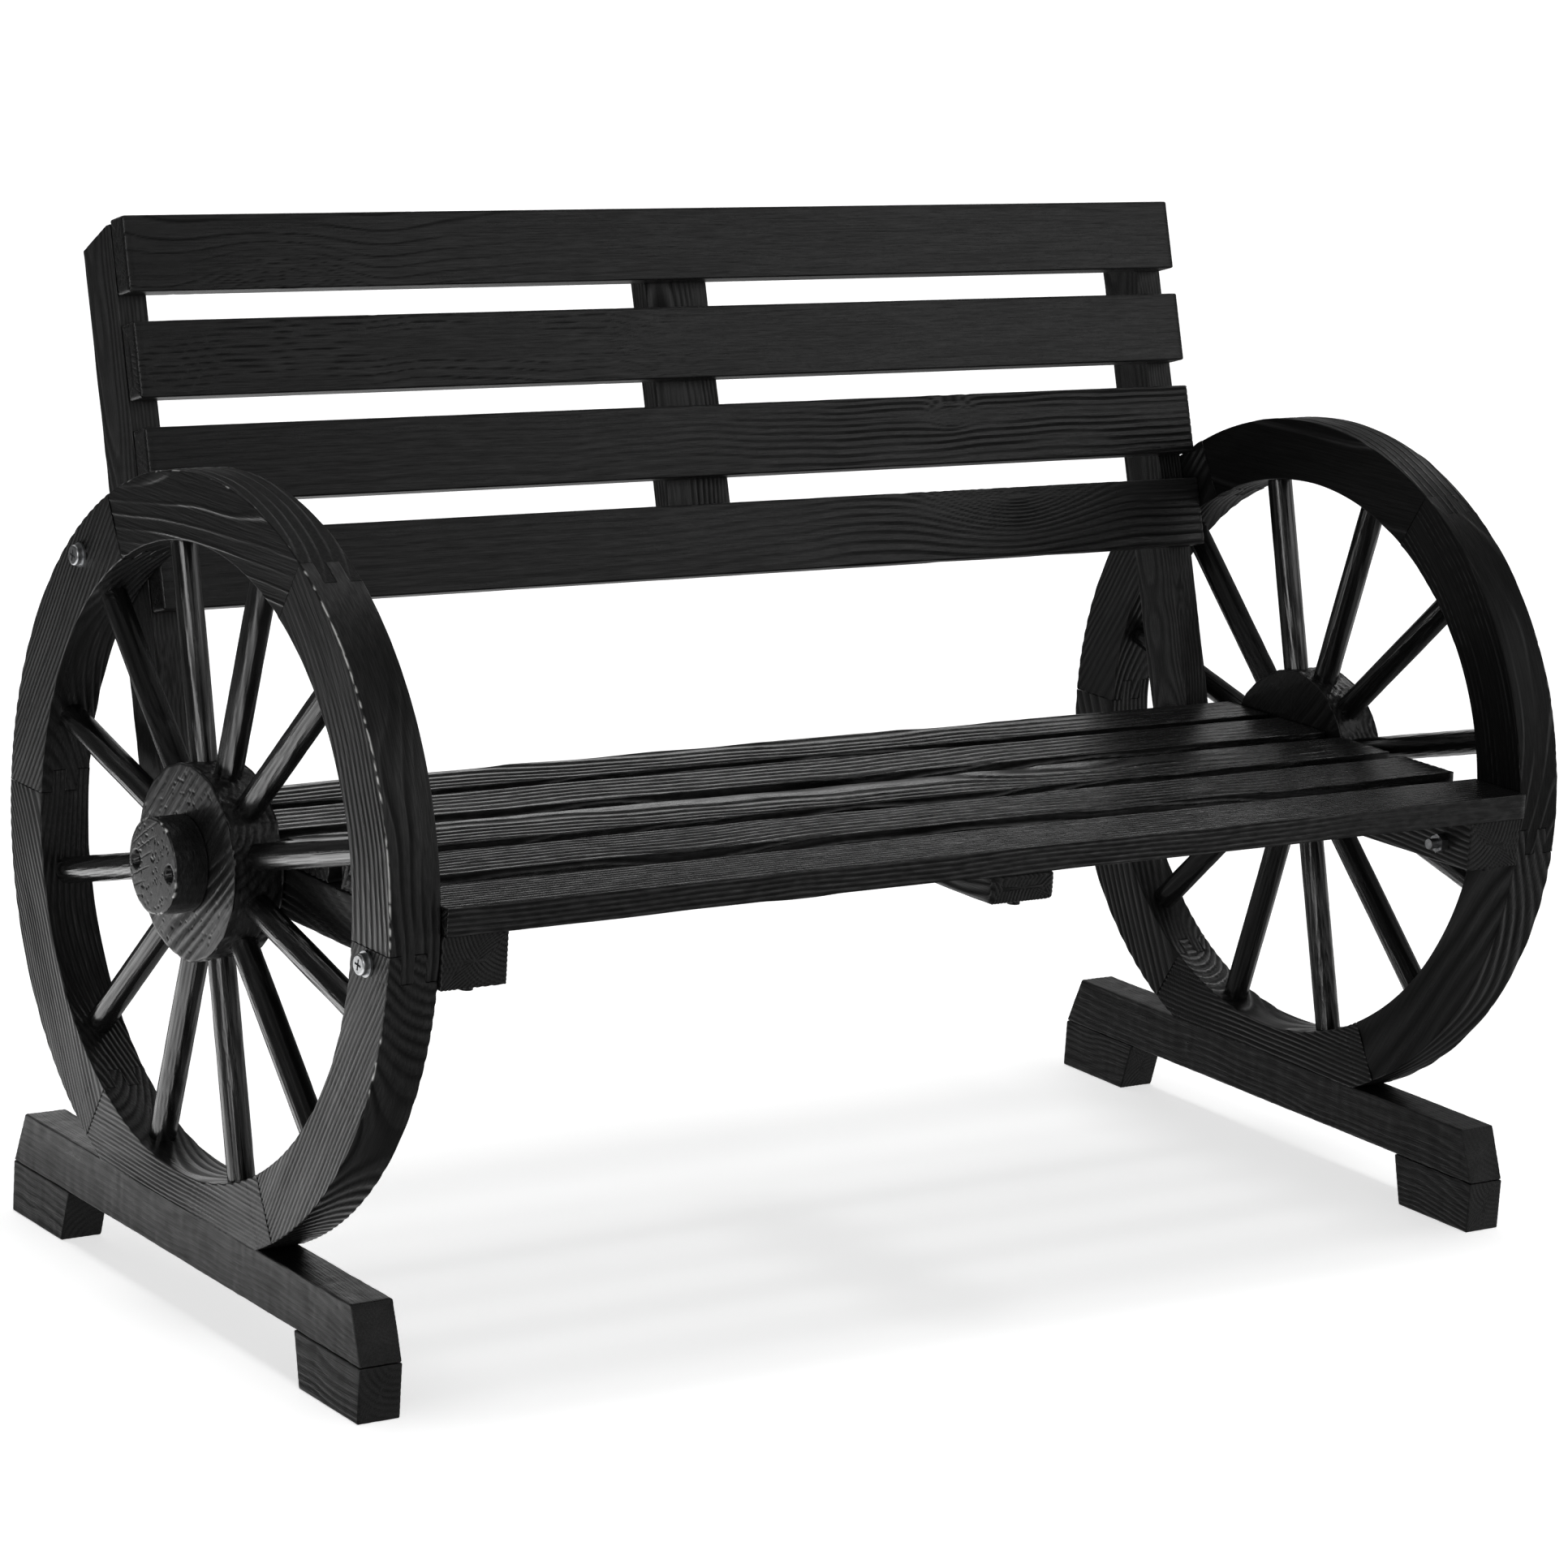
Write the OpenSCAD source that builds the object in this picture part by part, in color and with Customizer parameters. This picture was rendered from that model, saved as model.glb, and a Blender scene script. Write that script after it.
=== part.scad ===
// A slatted bench carried between two spoked wheels, in millimetres.
// +Z is up, the sitter faces -Y and +X is the sitter's left hand side.
// The origin lies on the floor, under the middle of the width and of the depth.

/* [Wheels] */
// Overall width over the outer faces of the two rims
rim_span = 1054; // [800:2:1400]
// Outer diameter of a wheel's rim
wheel_d = 552; // [480:2:640]
// Radial width of the rim
rim_w = 50; // [40:1:60]
// Thickness of the rim
rim_t = 40; // [36:1:50]
// Spokes held by each felloe
felloe_spokes = 2; // [1:1:2]
// Diameter of a spoke
spoke_d = 20; // [14:1:22]
// Depth of a spoke's end in the rim and in the hub
spoke_seat = 15; // [10:1:17]
// Bands of fingers across the tread at each felloe joint
finger_bands = 4; // [2:2:6]
// Length of a finger along the tread
finger_l = 20; // [12:1:26]
// Length of the flat on which the rim stands on its base beam
stand_flat = 230; // [180:2:240]

/* [Hubs] */
// Diameter of the hub
hub_d = 144; // [132:2:170]
// Thickness of the hub
hub_t = 40; // [34:1:46]
// How far the hub's outer face stands out of the rim's outer face
hub_proud = 2; // [0:0.5:6]
// Diameter of the round hub cap
cap_d = 70; // [60:2:90]
// Thickness of the hub cap
cap_t = 26; // [20:1:34]
// Distance between the two screws of a hub cap
cap_screw_gap = 48; // [34:1:52]
// Diameter of the holes that sink the hub cap's screws
cap_sink_d = 12; // [10.5:0.5:14]
// Depth of the holes that sink the hub cap's screws
cap_sink = 8; // [5:0.5:12]

/* [Base] */
// Width of a base beam and of its foot blocks
beam_w = 34; // [26:1:38]
// Height of a base beam
beam_h = 41; // [34:1:56]
// Length of a base beam along its underside
beam_l = 516; // [460:2:600]
// How far the top of a beam's end leans in
beam_bevel = 16; // [4:1:28]
// Height of a foot block
foot_h = 40; // [28:1:60]
// Length of a foot block under the beam
foot_l = 90; // [70:1:120]
// How far the inner end of a foot block leans in towards the floor
foot_slant = 10; // [0:1:20]
// Distance between the two screws that hold a beam to its wheel
beam_screw_gap = 180; // [176:1:200]
// Distance between the two screws of a foot block
foot_screw_gap = 44; // [30:1:50]
// Depth of the holes that sink the screws of beams and feet
base_sink = 12; // [6:1:16]
// Grip of a base screw in the piece above
base_bite = 25; // [16:1:28]

/* [Seat] */
// Height of the seat's top face above the wheels' centres
seat_up = 31; // [20:1:44]
// How far the seat's front edge stands out before the wheels
seat_front = 6; // [0:1:20]
// Thickness of a seat slat
seat_t = 20; // [16:1:28]
// Width of a seat slat
seat_slat_w = 58; // [50:1:64]
// Width of the narrower rear seat slat
rear_slat_w = 52; // [44:1:60]
// Gap between the first seat slat and the second, from the front
seat_gap_1 = 24; // [10:1:30]
// Gap between the second seat slat and the third
seat_gap_2 = 17; // [10:1:30]
// Gap between the third seat slat and the fourth
seat_gap_3 = 20; // [10:1:30]
// Gap between the fourth seat slat and the fifth
seat_gap_4 = 13; // [8:1:30]
// Width of an end seat bearer
bearer_w = 52; // [40:1:64]
// Height of an end seat bearer
bearer_h = 38; // [34:1:48]
// Width of the centre seat bearer
middle_w = 58; // [44:1:70]
// Height of the centre seat bearer
middle_h = 22; // [16:1:36]
// Radius on the edges of the centre seat bearer
middle_r = 4; // [1:0.5:6]
// How far the bearers stand behind the front slat's face
bearer_inset = 4; // [0:1:12]
// Distance of a seat screw from its slat's edge
seat_screw_in = 14; // [9:1:17]

/* [Back] */
// Height of the backrest's top edge above the tops of the wheels
back_over = 153; // [120:1:165]
// Angle by which the backrest leans from upright
recline = 17.3; // [10:0.1:22]
// Clearance between the rear seat slat and the backrest's face, at the seat's height
back_clear = 6; // [0:1:14]
// Width of a back slat
back_slat_w = 56; // [48:1:62]
// Thickness of a back slat
back_t = 20; // [16:1:28]
// Gap between back slats
back_gap = 21; // [12:1:24]
// Width of a back post, seen from the front
post_w = 24; // [20:1:34]
// Depth of a back post
post_d = 45; // [38:1:56]
// How far the posts end below the top slat's edge
post_low = 3; // [0:1:12]
// Width of the flat at the top of a post
post_flat = 6; // [2:1:20]
// How far a post's sloping top falls towards the rear
post_fall = 12; // [2:1:24]
// Width of the centre batten behind the back slats
batten_w = 58; // [40:1:70]
// Thickness of the centre batten
batten_t = 20; // [14:1:28]
// How far the batten ends inside the outer edges of the back slats
batten_in = 8; // [2:1:12]
// Distance of a batten screw from its slat's edge
back_screw_in = 14; // [10:1:17]

/* [Fasteners] */
// Diameter of a wood screw
screw_d = 5; // [4:0.1:5.5]
// Diameter of a wood screw's head
screw_head_d = 9.6; // [8:0.1:10]
// Height of a wood screw's head
screw_head_t = 3; // [2:0.1:4]
// Wood left over the tips of the screws in a slat
screw_cover = 7; // [4:0.5:9]
// Length of the wood screws that hold the back slats to the posts
post_screw_l = 40; // [32:1:46]
// Grip of the foot screw of a post in the post
post_bite = 34; // [24:1:44]
// Diameter of a rim bolt
bolt_d = 8; // [6:0.5:9]
// Diameter of a rim bolt's pan head
bolt_head_d = 15; // [13:0.5:16.5]
// Height of a rim bolt's pan head
bolt_head_t = 5; // [4:0.2:7]
// Rounding on the edge of a rim bolt's head
bolt_head_r = 1.6; // [0.5:0.1:3]
// Length of each arm pair of the cross recess
recess_l = 8; // [5:0.5:9]
// Width of the cross recess
recess_w = 1.6; // [0.8:0.1:2.4]
// Depth of the cross recess
recess_h = 2; // [1:0.1:3]
// Turn of the cross recess from upright
recess_turn = 8; // [0:1:45]
// Diameter of a washer
washer_d = 18; // [17:0.5:24]
// Thickness of a washer
washer_t = 1.6; // [1:0.1:2.5]
// Width of a nut across its flats
nut_af = 13; // [11:0.5:15]
// Thickness of a nut
nut_t = 6.5; // [5:0.1:8]
// How far a bolt stands out of its nut
bolt_proud = 8; // [3:0.5:12]
// Radial distance of the front bolts inside the tread
front_bolt_in = 28; // [24:1:30]
// Height of the front bolts above the underside of the bearers
front_bolt_up = 16; // [13:1:20]
// Radial distance of the rear bolts inside the tread
rear_bolt_in = 19; // [16:1:28]

/* [Fits] */
// Room on the diameter around the head of a screw sunk in the base
head_room = 2; // [1:0.1:2.6]
// Clearance on the diameter of a screw, bolt or spoke in its hole
hole_fit = 0.1; // [0.06:0.02:0.3]
// Clearance between the ends of the slats and the rims
end_fit = 0.4; // [0.2:0.1:0.8]

/* [Hidden] */
$fn = 96;

paint = "#262626";
turned_paint = "#1b1b1b";
zinc = "#b9babb";
black_steel = "#2a2a2b";

// Felloes in each rim, the first joint lying at the very front, and back slats,
// one above the other: as many as the nodes above
felloe_count = 6;
back_slats = 4;

// A cut runs this far past the faces that it goes through
past = 1;

// Wheels: centre, radii and angles. Angle 0 points to the front, 90 straight up.
wheel_r = wheel_d / 2;
rim_in = wheel_r - rim_w;
hub_r = hub_d / 2;
base_top = foot_h + beam_h;
wheel_z = base_top + sqrt(wheel_r * wheel_r - stand_flat * stand_flat / 4);
wheel_y = seat_front / 2;
inner_x = rim_span / 2 - rim_t;
felloe_turn = 360 / felloe_count;
finger_turn = finger_l / wheel_r * 180 / PI;
band_t = rim_t / finger_bands;
spoke_count = felloe_count * felloe_spokes;
spoke_turn = 360 / spoke_count;
spoke_from = hub_r - spoke_seat;
spoke_to = rim_in + spoke_seat;
hub_in = rim_t + hub_proud - hub_t;
cap_face = rim_t + hub_proud + cap_t;

// Base
beam_x = inner_x + (rim_t - beam_w) / 2;
foot_mid = beam_l / 2 - foot_l / 2;

// Seat, from the front edge to the rear one
seat_h = wheel_z + seat_up;
slat_gaps = [seat_gap_1, seat_gap_2, seat_gap_3, seat_gap_4, 0];
slat_last = len(slat_gaps) - 1;
front_y = wheel_y - wheel_r - seat_front;
function gaps_before(i) = i == 0 ? 0 : slat_gaps[i - 1] + gaps_before(i - 1);
function slat_w(i) = i == slat_last ? rear_slat_w : seat_slat_w;
function slat_y(i) = front_y + i * seat_slat_w + gaps_before(i);
seat_rear = slat_y(slat_last) + rear_slat_w;
bearer_top = seat_h - seat_t;
bearer_low = bearer_top - bearer_h;
middle_low = bearer_top - middle_h;

// Back, in a frame that leans with it: Y goes into its depth and Z up its face, from the seat's height
back_y = seat_rear + back_clear;
back_top = (wheel_r - seat_up + back_over) / cos(recline);
back_pitch = back_slat_w + back_gap;
back_low = back_top - (back_slats - 1) * back_pitch - back_slat_w;
post_front = back_t;
post_back = back_t + post_d;
post_top = back_top - post_low;
// Height up the face at which depth d meets the level of the bearers' top
function rise_at(d) = (bearer_top - seat_h + d * sin(recline)) / cos(recline);
function world_y(d, s) = back_y + d * cos(recline) + s * sin(recline);
function world_z(d, s) = seat_h - d * sin(recline) + s * cos(recline);
post_foot_front = world_y(post_front, rise_at(post_front));
post_foot_back = world_y(post_back, rise_at(post_back));
post_foot_y = (post_foot_front + post_foot_back) / 2;
post_mid = back_t + post_d / 2;
bearer_y = front_y + bearer_inset;
bearer_l = post_foot_back - bearer_y;
middle_l = seat_rear - bearer_y;

// Front bolts: where the bolt circle crosses their height. Rear bolts: where a
// post's middle line crosses their circle, found as a height up the back's face.
front_bolt_z = bearer_low + front_bolt_up;
front_bolt_r = wheel_r - front_bolt_in;
front_bolt_y = wheel_y - sqrt(pow(front_bolt_r, 2) - pow(front_bolt_z - wheel_z, 2));
rear_bolt_r = wheel_r - rear_bolt_in;
from_y = world_y(post_mid, 0) - wheel_y;
from_z = world_z(post_mid, 0) - wheel_z;
lean_way = from_y * sin(recline) + from_z * cos(recline);
rear_bolt_up = sqrt(lean_way * lean_way - from_y * from_y - from_z * from_z
    + rear_bolt_r * rear_bolt_r) - lean_way;
rear_bolt_y = world_y(post_mid, rear_bolt_up);
rear_bolt_z = world_z(post_mid, rear_bolt_up);

// Copies its children for both sides of the bench
module both_sides() {
    children();
    mirror([1, 0, 0]) children();
}

// The right wheel's own frame: X to the front, Y up, Z outwards from the rim's inner face
module wheel_frame() {
    mirror([1, 0, 0]) translate([-inner_x, wheel_y, wheel_z]) rotate([90, 0, -90]) children();
}

// The frame that leans with the back
module back_frame() {
    translate([0, back_y, seat_h]) rotate([-recline, 0, 0]) children();
}

// A plate of thickness w from x on, whose outline is drawn in Y and Z
module side_plate(x, w) {
    translate([x, 0, 0]) rotate([90, 0, 90]) linear_extrude(w) children();
}

// A hole or rod of radius r along +X from x to x_end, at y and z
module along_x(x, x_end, y, z, r) {
    translate([x, y, z]) rotate([0, 90, 0]) cylinder(r = r, h = x_end - x);
}

function free(d) = (d + hole_fit) / 2;

// A wood screw whose head seats at the origin and whose shank goes up
module wood_screw(l) {
    translate([0, 0, -screw_head_t]) cylinder(d = screw_head_d, h = screw_head_t);
    translate([0, 0, -screw_head_t / 2]) cylinder(d = screw_d, h = l + screw_head_t / 2);
}

// The hole for a wood screw that goes up by l, with a sink of the given depth and diameter below its head
module screw_hole(l, sink = 0, sink_d = screw_head_d + head_room) {
    cylinder(r = free(screw_d), h = l + hole_fit);
    translate([0, 0, -past]) cylinder(r = free(screw_d), h = past);
    if (sink > 0) translate([0, 0, -sink - past]) cylinder(d = sink_d, h = sink + past);
}

// Sets its children at each place, from a list of points
module at_each(points) {
    for (p = points) translate(p) children();
}

// Places of the screws, on the right side
beam_screw_at = [for (s = [-1, 1])
    [beam_x + beam_w / 2, wheel_y + s * beam_screw_gap / 2, foot_h + base_sink]];
foot_screw_at = [for (f = [-1, 1], s = [-1, 1])
    [beam_x + beam_w / 2, wheel_y + f * foot_mid + s * foot_screw_gap / 2, base_sink]];
beam_screw_l = beam_h - base_sink + base_bite;
foot_screw_l = foot_h - base_sink + base_bite;
slat_screw_y = [for (i = [0:slat_last], y = [seat_screw_in, slat_w(i) - seat_screw_in]) slat_y(i) + y];
end_screw_at = [for (y = slat_screw_y) [inner_x - bearer_w / 2, y, bearer_low]];
end_screw_l = bearer_h + seat_t - screw_cover;
centre_screw_at = [for (y = slat_screw_y) [0, y, middle_low]];
centre_screw_l = middle_h + seat_t - screw_cover;
post_foot_at = [inner_x - post_w / 2, post_foot_y, bearer_low];
post_foot_l = bearer_h + post_bite;

// In the back's frame: the height of each slat's lower edge, and the screws from behind
back_slat_z = [for (i = [0:back_slats - 1]) back_top - back_slat_w - i * back_pitch];
post_screw_at = [for (z = back_slat_z)
    [inner_x - post_w / 2, screw_cover + post_screw_l, z + back_slat_w / 2]];
post_sink = post_back - screw_cover - post_screw_l;
batten_screw_at = [for (z = back_slat_z, s = [back_screw_in, back_slat_w - back_screw_in])
    [0, back_t + batten_t, z + s]];
batten_screw_l = back_t + batten_t - screw_cover;
cap_screw_at = [for (s = [-1, 1]) [s * cap_screw_gap / 2, 0, cap_face - cap_sink]];
cap_screw_l = cap_t - cap_sink + base_bite;

// A wedge about the wheel's axis between two angles and two faces, in the wheel's frame
module wedge(from, to, low, high) {
    far = 2 * wheel_r;
    translate([0, 0, low]) linear_extrude(high - low)
        polygon([[0, 0], for (a = [from, (from + to) / 2, to]) far * [cos(a), sin(a)]]);
}

module rim_ring() {
    difference() {
        cylinder(r = wheel_r, h = rim_t);
        translate([0, 0, -past]) cylinder(r = rim_in, h = rim_t + 2 * past);
    }
}

module spoke_rods(from, to, r) {
    for (i = [0:spoke_count - 1])
        rotate([0, 0, (i + 0.5) * spoke_turn]) translate([from, 0, rim_t / 2])
            rotate([0, 90, 0]) cylinder(r = r, h = to - from);
}

// The holes of both rim bolts, through everything between the two faces
module rim_bolt_holes(from, to) {
    along_x(from, to, front_bolt_y, front_bolt_z, free(bolt_d));
    along_x(from, to, rear_bolt_y, rear_bolt_z, free(bolt_d));
}

// One felloe of a wheel, from its joint at angle k * felloe_turn to the next
// one, drawn on the right. Every second band of fingers, from band `first` on,
// lies one finger lower at both ends, so that the felloes interlock.
module felloe(k, first) {
    from = k * felloe_turn;
    to = from + felloe_turn;
    color(paint) difference() {
        wheel_frame() difference() {
            intersection() {
                rim_ring();
                union() {
                    wedge(from, to - finger_turn, 0, rim_t);
                    for (b = [0:finger_bands - 1]) {
                        tip = b % 2 == first ? from - finger_turn : to - 2 * finger_turn;
                        wedge(tip, tip + 2 * finger_turn, b * band_t, (b + 1) * band_t);
                    }
                }
            }
            spoke_rods(rim_in - past, spoke_to, free(spoke_d));
            translate([-wheel_r, base_top - wheel_z - wheel_r, -past])
                cube([2 * wheel_r, wheel_r, rim_t + 2 * past]);
        }
        rim_bolt_holes(inner_x - past, inner_x + rim_t + past);
        at_each(beam_screw_at) screw_hole(beam_screw_l);
    }
}

module left_felloe(k) { mirror([1, 0, 0]) felloe(k, 0); }
module right_felloe(k) { felloe(k, 1); }

module spokes() {
    color(turned_paint) wheel_frame() spoke_rods(spoke_from, spoke_to, spoke_d / 2);
}

module hub() {
    color(paint) wheel_frame() difference() {
        translate([0, 0, hub_in]) cylinder(r = hub_r, h = hub_t);
        spoke_rods(spoke_from, hub_r + past, free(spoke_d));
        at_each(cap_screw_at) rotate([180, 0, 0]) screw_hole(cap_screw_l);
    }
}

module hub_cap() {
    color(paint) wheel_frame() difference() {
        translate([0, 0, cap_face - cap_t]) cylinder(d = cap_d, h = cap_t);
        at_each(cap_screw_at) rotate([180, 0, 0]) screw_hole(cap_screw_l, cap_sink, cap_sink_d);
    }
}

module hub_cap_screws() {
    color(black_steel) both_sides() wheel_frame()
        at_each(cap_screw_at) rotate([180, 0, 0]) wood_screw(cap_screw_l);
}

module base_beam() {
    color(paint) difference() {
        translate([0, wheel_y, 0]) side_plate(beam_x, beam_w) polygon([
            [-beam_l / 2, foot_h], [beam_l / 2, foot_h],
            [beam_l / 2 - beam_bevel, base_top], [beam_bevel - beam_l / 2, base_top]]);
        at_each(beam_screw_at) screw_hole(beam_screw_l, base_sink);
        at_each(foot_screw_at) screw_hole(foot_screw_l);
    }
}

// A foot block; way is -1 at the front and 1 at the rear
module foot(way) {
    color(paint) difference() {
        translate([0, wheel_y, 0]) side_plate(beam_x, beam_w) polygon([
            [way * (beam_l / 2 - foot_l + foot_slant), 0], [way * beam_l / 2, 0],
            [way * beam_l / 2, foot_h], [way * (beam_l / 2 - foot_l), foot_h]]);
        at_each(foot_screw_at) screw_hole(foot_screw_l, base_sink);
    }
}

module foot_screws() { color(black_steel) both_sides() at_each(foot_screw_at) wood_screw(foot_screw_l); }
module beam_screws() { color(black_steel) both_sides() at_each(beam_screw_at) wood_screw(beam_screw_l); }

// Seat slat i, counted from 0 at the front
module seat_slat(i) {
    slat_l = 2 * (inner_x - end_fit);
    color(paint) difference() {
        translate([-slat_l / 2, slat_y(i), bearer_top]) cube([slat_l, slat_w(i), seat_t]);
        both_sides() at_each(end_screw_at) screw_hole(end_screw_l);
        at_each(centre_screw_at) screw_hole(centre_screw_l);
    }
}

module seat_bearer() {
    color(paint) difference() {
        translate([inner_x - bearer_w, bearer_y, bearer_low]) cube([bearer_w, bearer_l, bearer_h]);
        at_each(end_screw_at) screw_hole(end_screw_l);
        translate(post_foot_at) screw_hole(post_foot_l);
        rim_bolt_holes(inner_x - bearer_w - past, inner_x + past);
    }
}

module centre_seat_bearer() {
    inside = middle_w / 2 - middle_r;
    color(paint) difference() {
        translate([0, bearer_y + middle_l, middle_low]) rotate([90, 0, 0]) linear_extrude(middle_l) union() {
            translate([-inside, 0]) square([2 * inside, middle_h]);
            translate([-middle_w / 2, middle_r]) square([middle_w, middle_h - 2 * middle_r]);
            for (x = [-inside, inside], z = [middle_r, middle_h - middle_r])
                translate([x, z]) circle(middle_r);
        }
        at_each(centre_screw_at) screw_hole(centre_screw_l);
    }
}

module end_seat_screws() { color(black_steel) both_sides() at_each(end_screw_at) wood_screw(end_screw_l); }
module centre_seat_screws() { color(black_steel) at_each(centre_screw_at) wood_screw(centre_screw_l); }

// Back slat i, counted from 0 at the top
module back_slat(i) {
    slat_l = 2 * (inner_x - end_fit);
    color(paint) back_frame() difference() {
        translate([-slat_l / 2, 0, back_slat_z[i]]) cube([slat_l, back_t, back_slat_w]);
        both_sides() at_each(post_screw_at) rotate([90, 0, 0]) screw_hole(post_screw_l);
        at_each(batten_screw_at) rotate([90, 0, 0]) screw_hole(batten_screw_l);
    }
}

module back_post() {
    color(paint) difference() {
        back_frame() difference() {
            side_plate(inner_x - post_w, post_w) polygon([
                [post_front, rise_at(post_front)], [post_back, rise_at(post_back)],
                [post_back, post_top - post_fall], [post_front + post_flat, post_top],
                [post_front, post_top]]);
            at_each(post_screw_at) rotate([90, 0, 0]) screw_hole(post_screw_l, post_sink);
        }
        translate(post_foot_at) screw_hole(post_foot_l);
        rim_bolt_holes(inner_x - post_w - past, inner_x + past);
    }
}

module back_batten() {
    color(paint) back_frame() difference() {
        translate([-batten_w / 2, back_t, back_low + batten_in])
            cube([batten_w, batten_t, back_top - back_low - 2 * batten_in]);
        at_each(batten_screw_at) rotate([90, 0, 0]) screw_hole(batten_screw_l);
    }
}

module post_screws() {
    color(black_steel) both_sides() back_frame() at_each(post_screw_at)
        rotate([90, 0, 0]) wood_screw(post_screw_l);
}

module batten_screws() {
    color(black_steel) back_frame() at_each(batten_screw_at) rotate([90, 0, 0]) wood_screw(batten_screw_l);
}

module post_foot_screws() { color(black_steel) both_sides() translate(post_foot_at) wood_screw(post_foot_l); }

// A pan-headed bolt of the right side, from the washer's outer face to x_end inside
module rim_bolt(y, z, x_end) {
    seat = inner_x + rim_t + washer_t;
    color(zinc) difference() {
        union() {
            along_x(x_end, seat + bolt_head_t / 2, y, z, bolt_d / 2);
            translate([seat, y, z]) rotate([0, 90, 0]) rotate_extrude() union() {
                square([bolt_head_d / 2, bolt_head_t - bolt_head_r]);
                square([bolt_head_d / 2 - bolt_head_r, bolt_head_t]);
                translate([bolt_head_d / 2 - bolt_head_r, bolt_head_t - bolt_head_r])
                    intersection() { circle(bolt_head_r); square(bolt_head_r); }
            }
        }
        for (turn = [recess_turn, recess_turn + 90])
            translate([seat + bolt_head_t - recess_h, y, z]) rotate([turn, 0, 0])
                translate([0, -recess_l / 2, -recess_w / 2]) cube([recess_h + past, recess_l, recess_w]);
    }
}

module front_rim_bolts() {
    both_sides() rim_bolt(front_bolt_y, front_bolt_z, inner_x - bearer_w - nut_t - bolt_proud);
}

module rear_rim_bolts() {
    both_sides() rim_bolt(rear_bolt_y, rear_bolt_z, inner_x - post_w - nut_t - bolt_proud);
}

module rim_washers() {
    x = inner_x + rim_t;
    color(zinc) both_sides() difference() {
        for (p = [[front_bolt_y, front_bolt_z], [rear_bolt_y, rear_bolt_z]])
            along_x(x, x + washer_t, p[0], p[1], washer_d / 2);
        rim_bolt_holes(x - past, x + washer_t + past);
    }
}

module rim_nuts() {
    color(zinc) both_sides() difference() {
        for (p = [[inner_x - bearer_w, front_bolt_y, front_bolt_z],
                [inner_x - post_w, rear_bolt_y, rear_bolt_z]])
            translate(p) rotate([0, -90, 0]) cylinder(d = nut_af / cos(30), h = nut_t, $fn = 6);
        rim_bolt_holes(inner_x - bearer_w - nut_t - past, inner_x);
    }
}

left_felloe(0);  // left_felloe_1
left_felloe(1);  // left_felloe_2
left_felloe(2);  // left_felloe_3
left_felloe(3);  // left_felloe_4
left_felloe(4);  // left_felloe_5
left_felloe(5);  // left_felloe_6
right_felloe(0);  // right_felloe_1
right_felloe(1);  // right_felloe_2
right_felloe(2);  // right_felloe_3
right_felloe(3);  // right_felloe_4
right_felloe(4);  // right_felloe_5
right_felloe(5);  // right_felloe_6
mirror([1, 0, 0]) spokes();  // left_spokes
spokes();  // right_spokes
mirror([1, 0, 0]) hub();  // left_hub
hub();  // right_hub
mirror([1, 0, 0]) hub_cap();  // left_hub_cap
hub_cap();  // right_hub_cap
hub_cap_screws();
mirror([1, 0, 0]) base_beam();  // left_base_beam
base_beam();  // right_base_beam
mirror([1, 0, 0]) foot(-1);  // left_front_foot
mirror([1, 0, 0]) foot(1);  // left_rear_foot
foot(-1);  // right_front_foot
foot(1);  // right_rear_foot
foot_screws();
beam_screws();
seat_slat(0);  // seat_slat_1
seat_slat(1);  // seat_slat_2
seat_slat(2);  // seat_slat_3
seat_slat(3);  // seat_slat_4
seat_slat(4);  // seat_slat_5
mirror([1, 0, 0]) seat_bearer();  // left_seat_bearer
seat_bearer();  // right_seat_bearer
centre_seat_bearer();
end_seat_screws();
centre_seat_screws();
back_slat(0);  // back_slat_1
back_slat(1);  // back_slat_2
back_slat(2);  // back_slat_3
back_slat(3);  // back_slat_4
mirror([1, 0, 0]) back_post();  // left_back_post
back_post();  // right_back_post
back_batten();
post_screws();
batten_screws();
post_foot_screws();
front_rim_bolts();
rear_rim_bolts();
rim_washers();
rim_nuts();
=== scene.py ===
import logging
import math
from dataclasses import dataclass, fields, replace
from enum import Enum
from typing import Callable, Sequence

import bmesh
import bpy
import numpy as np
from mathutils import Matrix, Vector

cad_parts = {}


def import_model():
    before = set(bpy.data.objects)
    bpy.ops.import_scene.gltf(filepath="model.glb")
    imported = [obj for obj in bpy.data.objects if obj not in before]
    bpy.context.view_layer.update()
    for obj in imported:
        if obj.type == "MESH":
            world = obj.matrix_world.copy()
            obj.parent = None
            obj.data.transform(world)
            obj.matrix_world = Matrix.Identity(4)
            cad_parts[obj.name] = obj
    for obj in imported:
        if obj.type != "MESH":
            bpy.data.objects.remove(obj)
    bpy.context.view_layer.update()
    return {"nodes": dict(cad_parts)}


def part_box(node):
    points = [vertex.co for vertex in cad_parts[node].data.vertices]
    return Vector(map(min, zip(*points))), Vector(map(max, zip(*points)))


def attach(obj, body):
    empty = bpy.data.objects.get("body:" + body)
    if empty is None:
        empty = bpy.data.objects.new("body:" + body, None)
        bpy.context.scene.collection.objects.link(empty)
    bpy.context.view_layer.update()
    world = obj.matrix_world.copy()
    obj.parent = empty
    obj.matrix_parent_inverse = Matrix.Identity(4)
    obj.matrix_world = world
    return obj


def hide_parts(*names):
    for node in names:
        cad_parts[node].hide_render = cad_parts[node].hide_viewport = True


LOG = logging.getLogger("bench")
Array = np.ndarray
MM = 0.001

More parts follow.
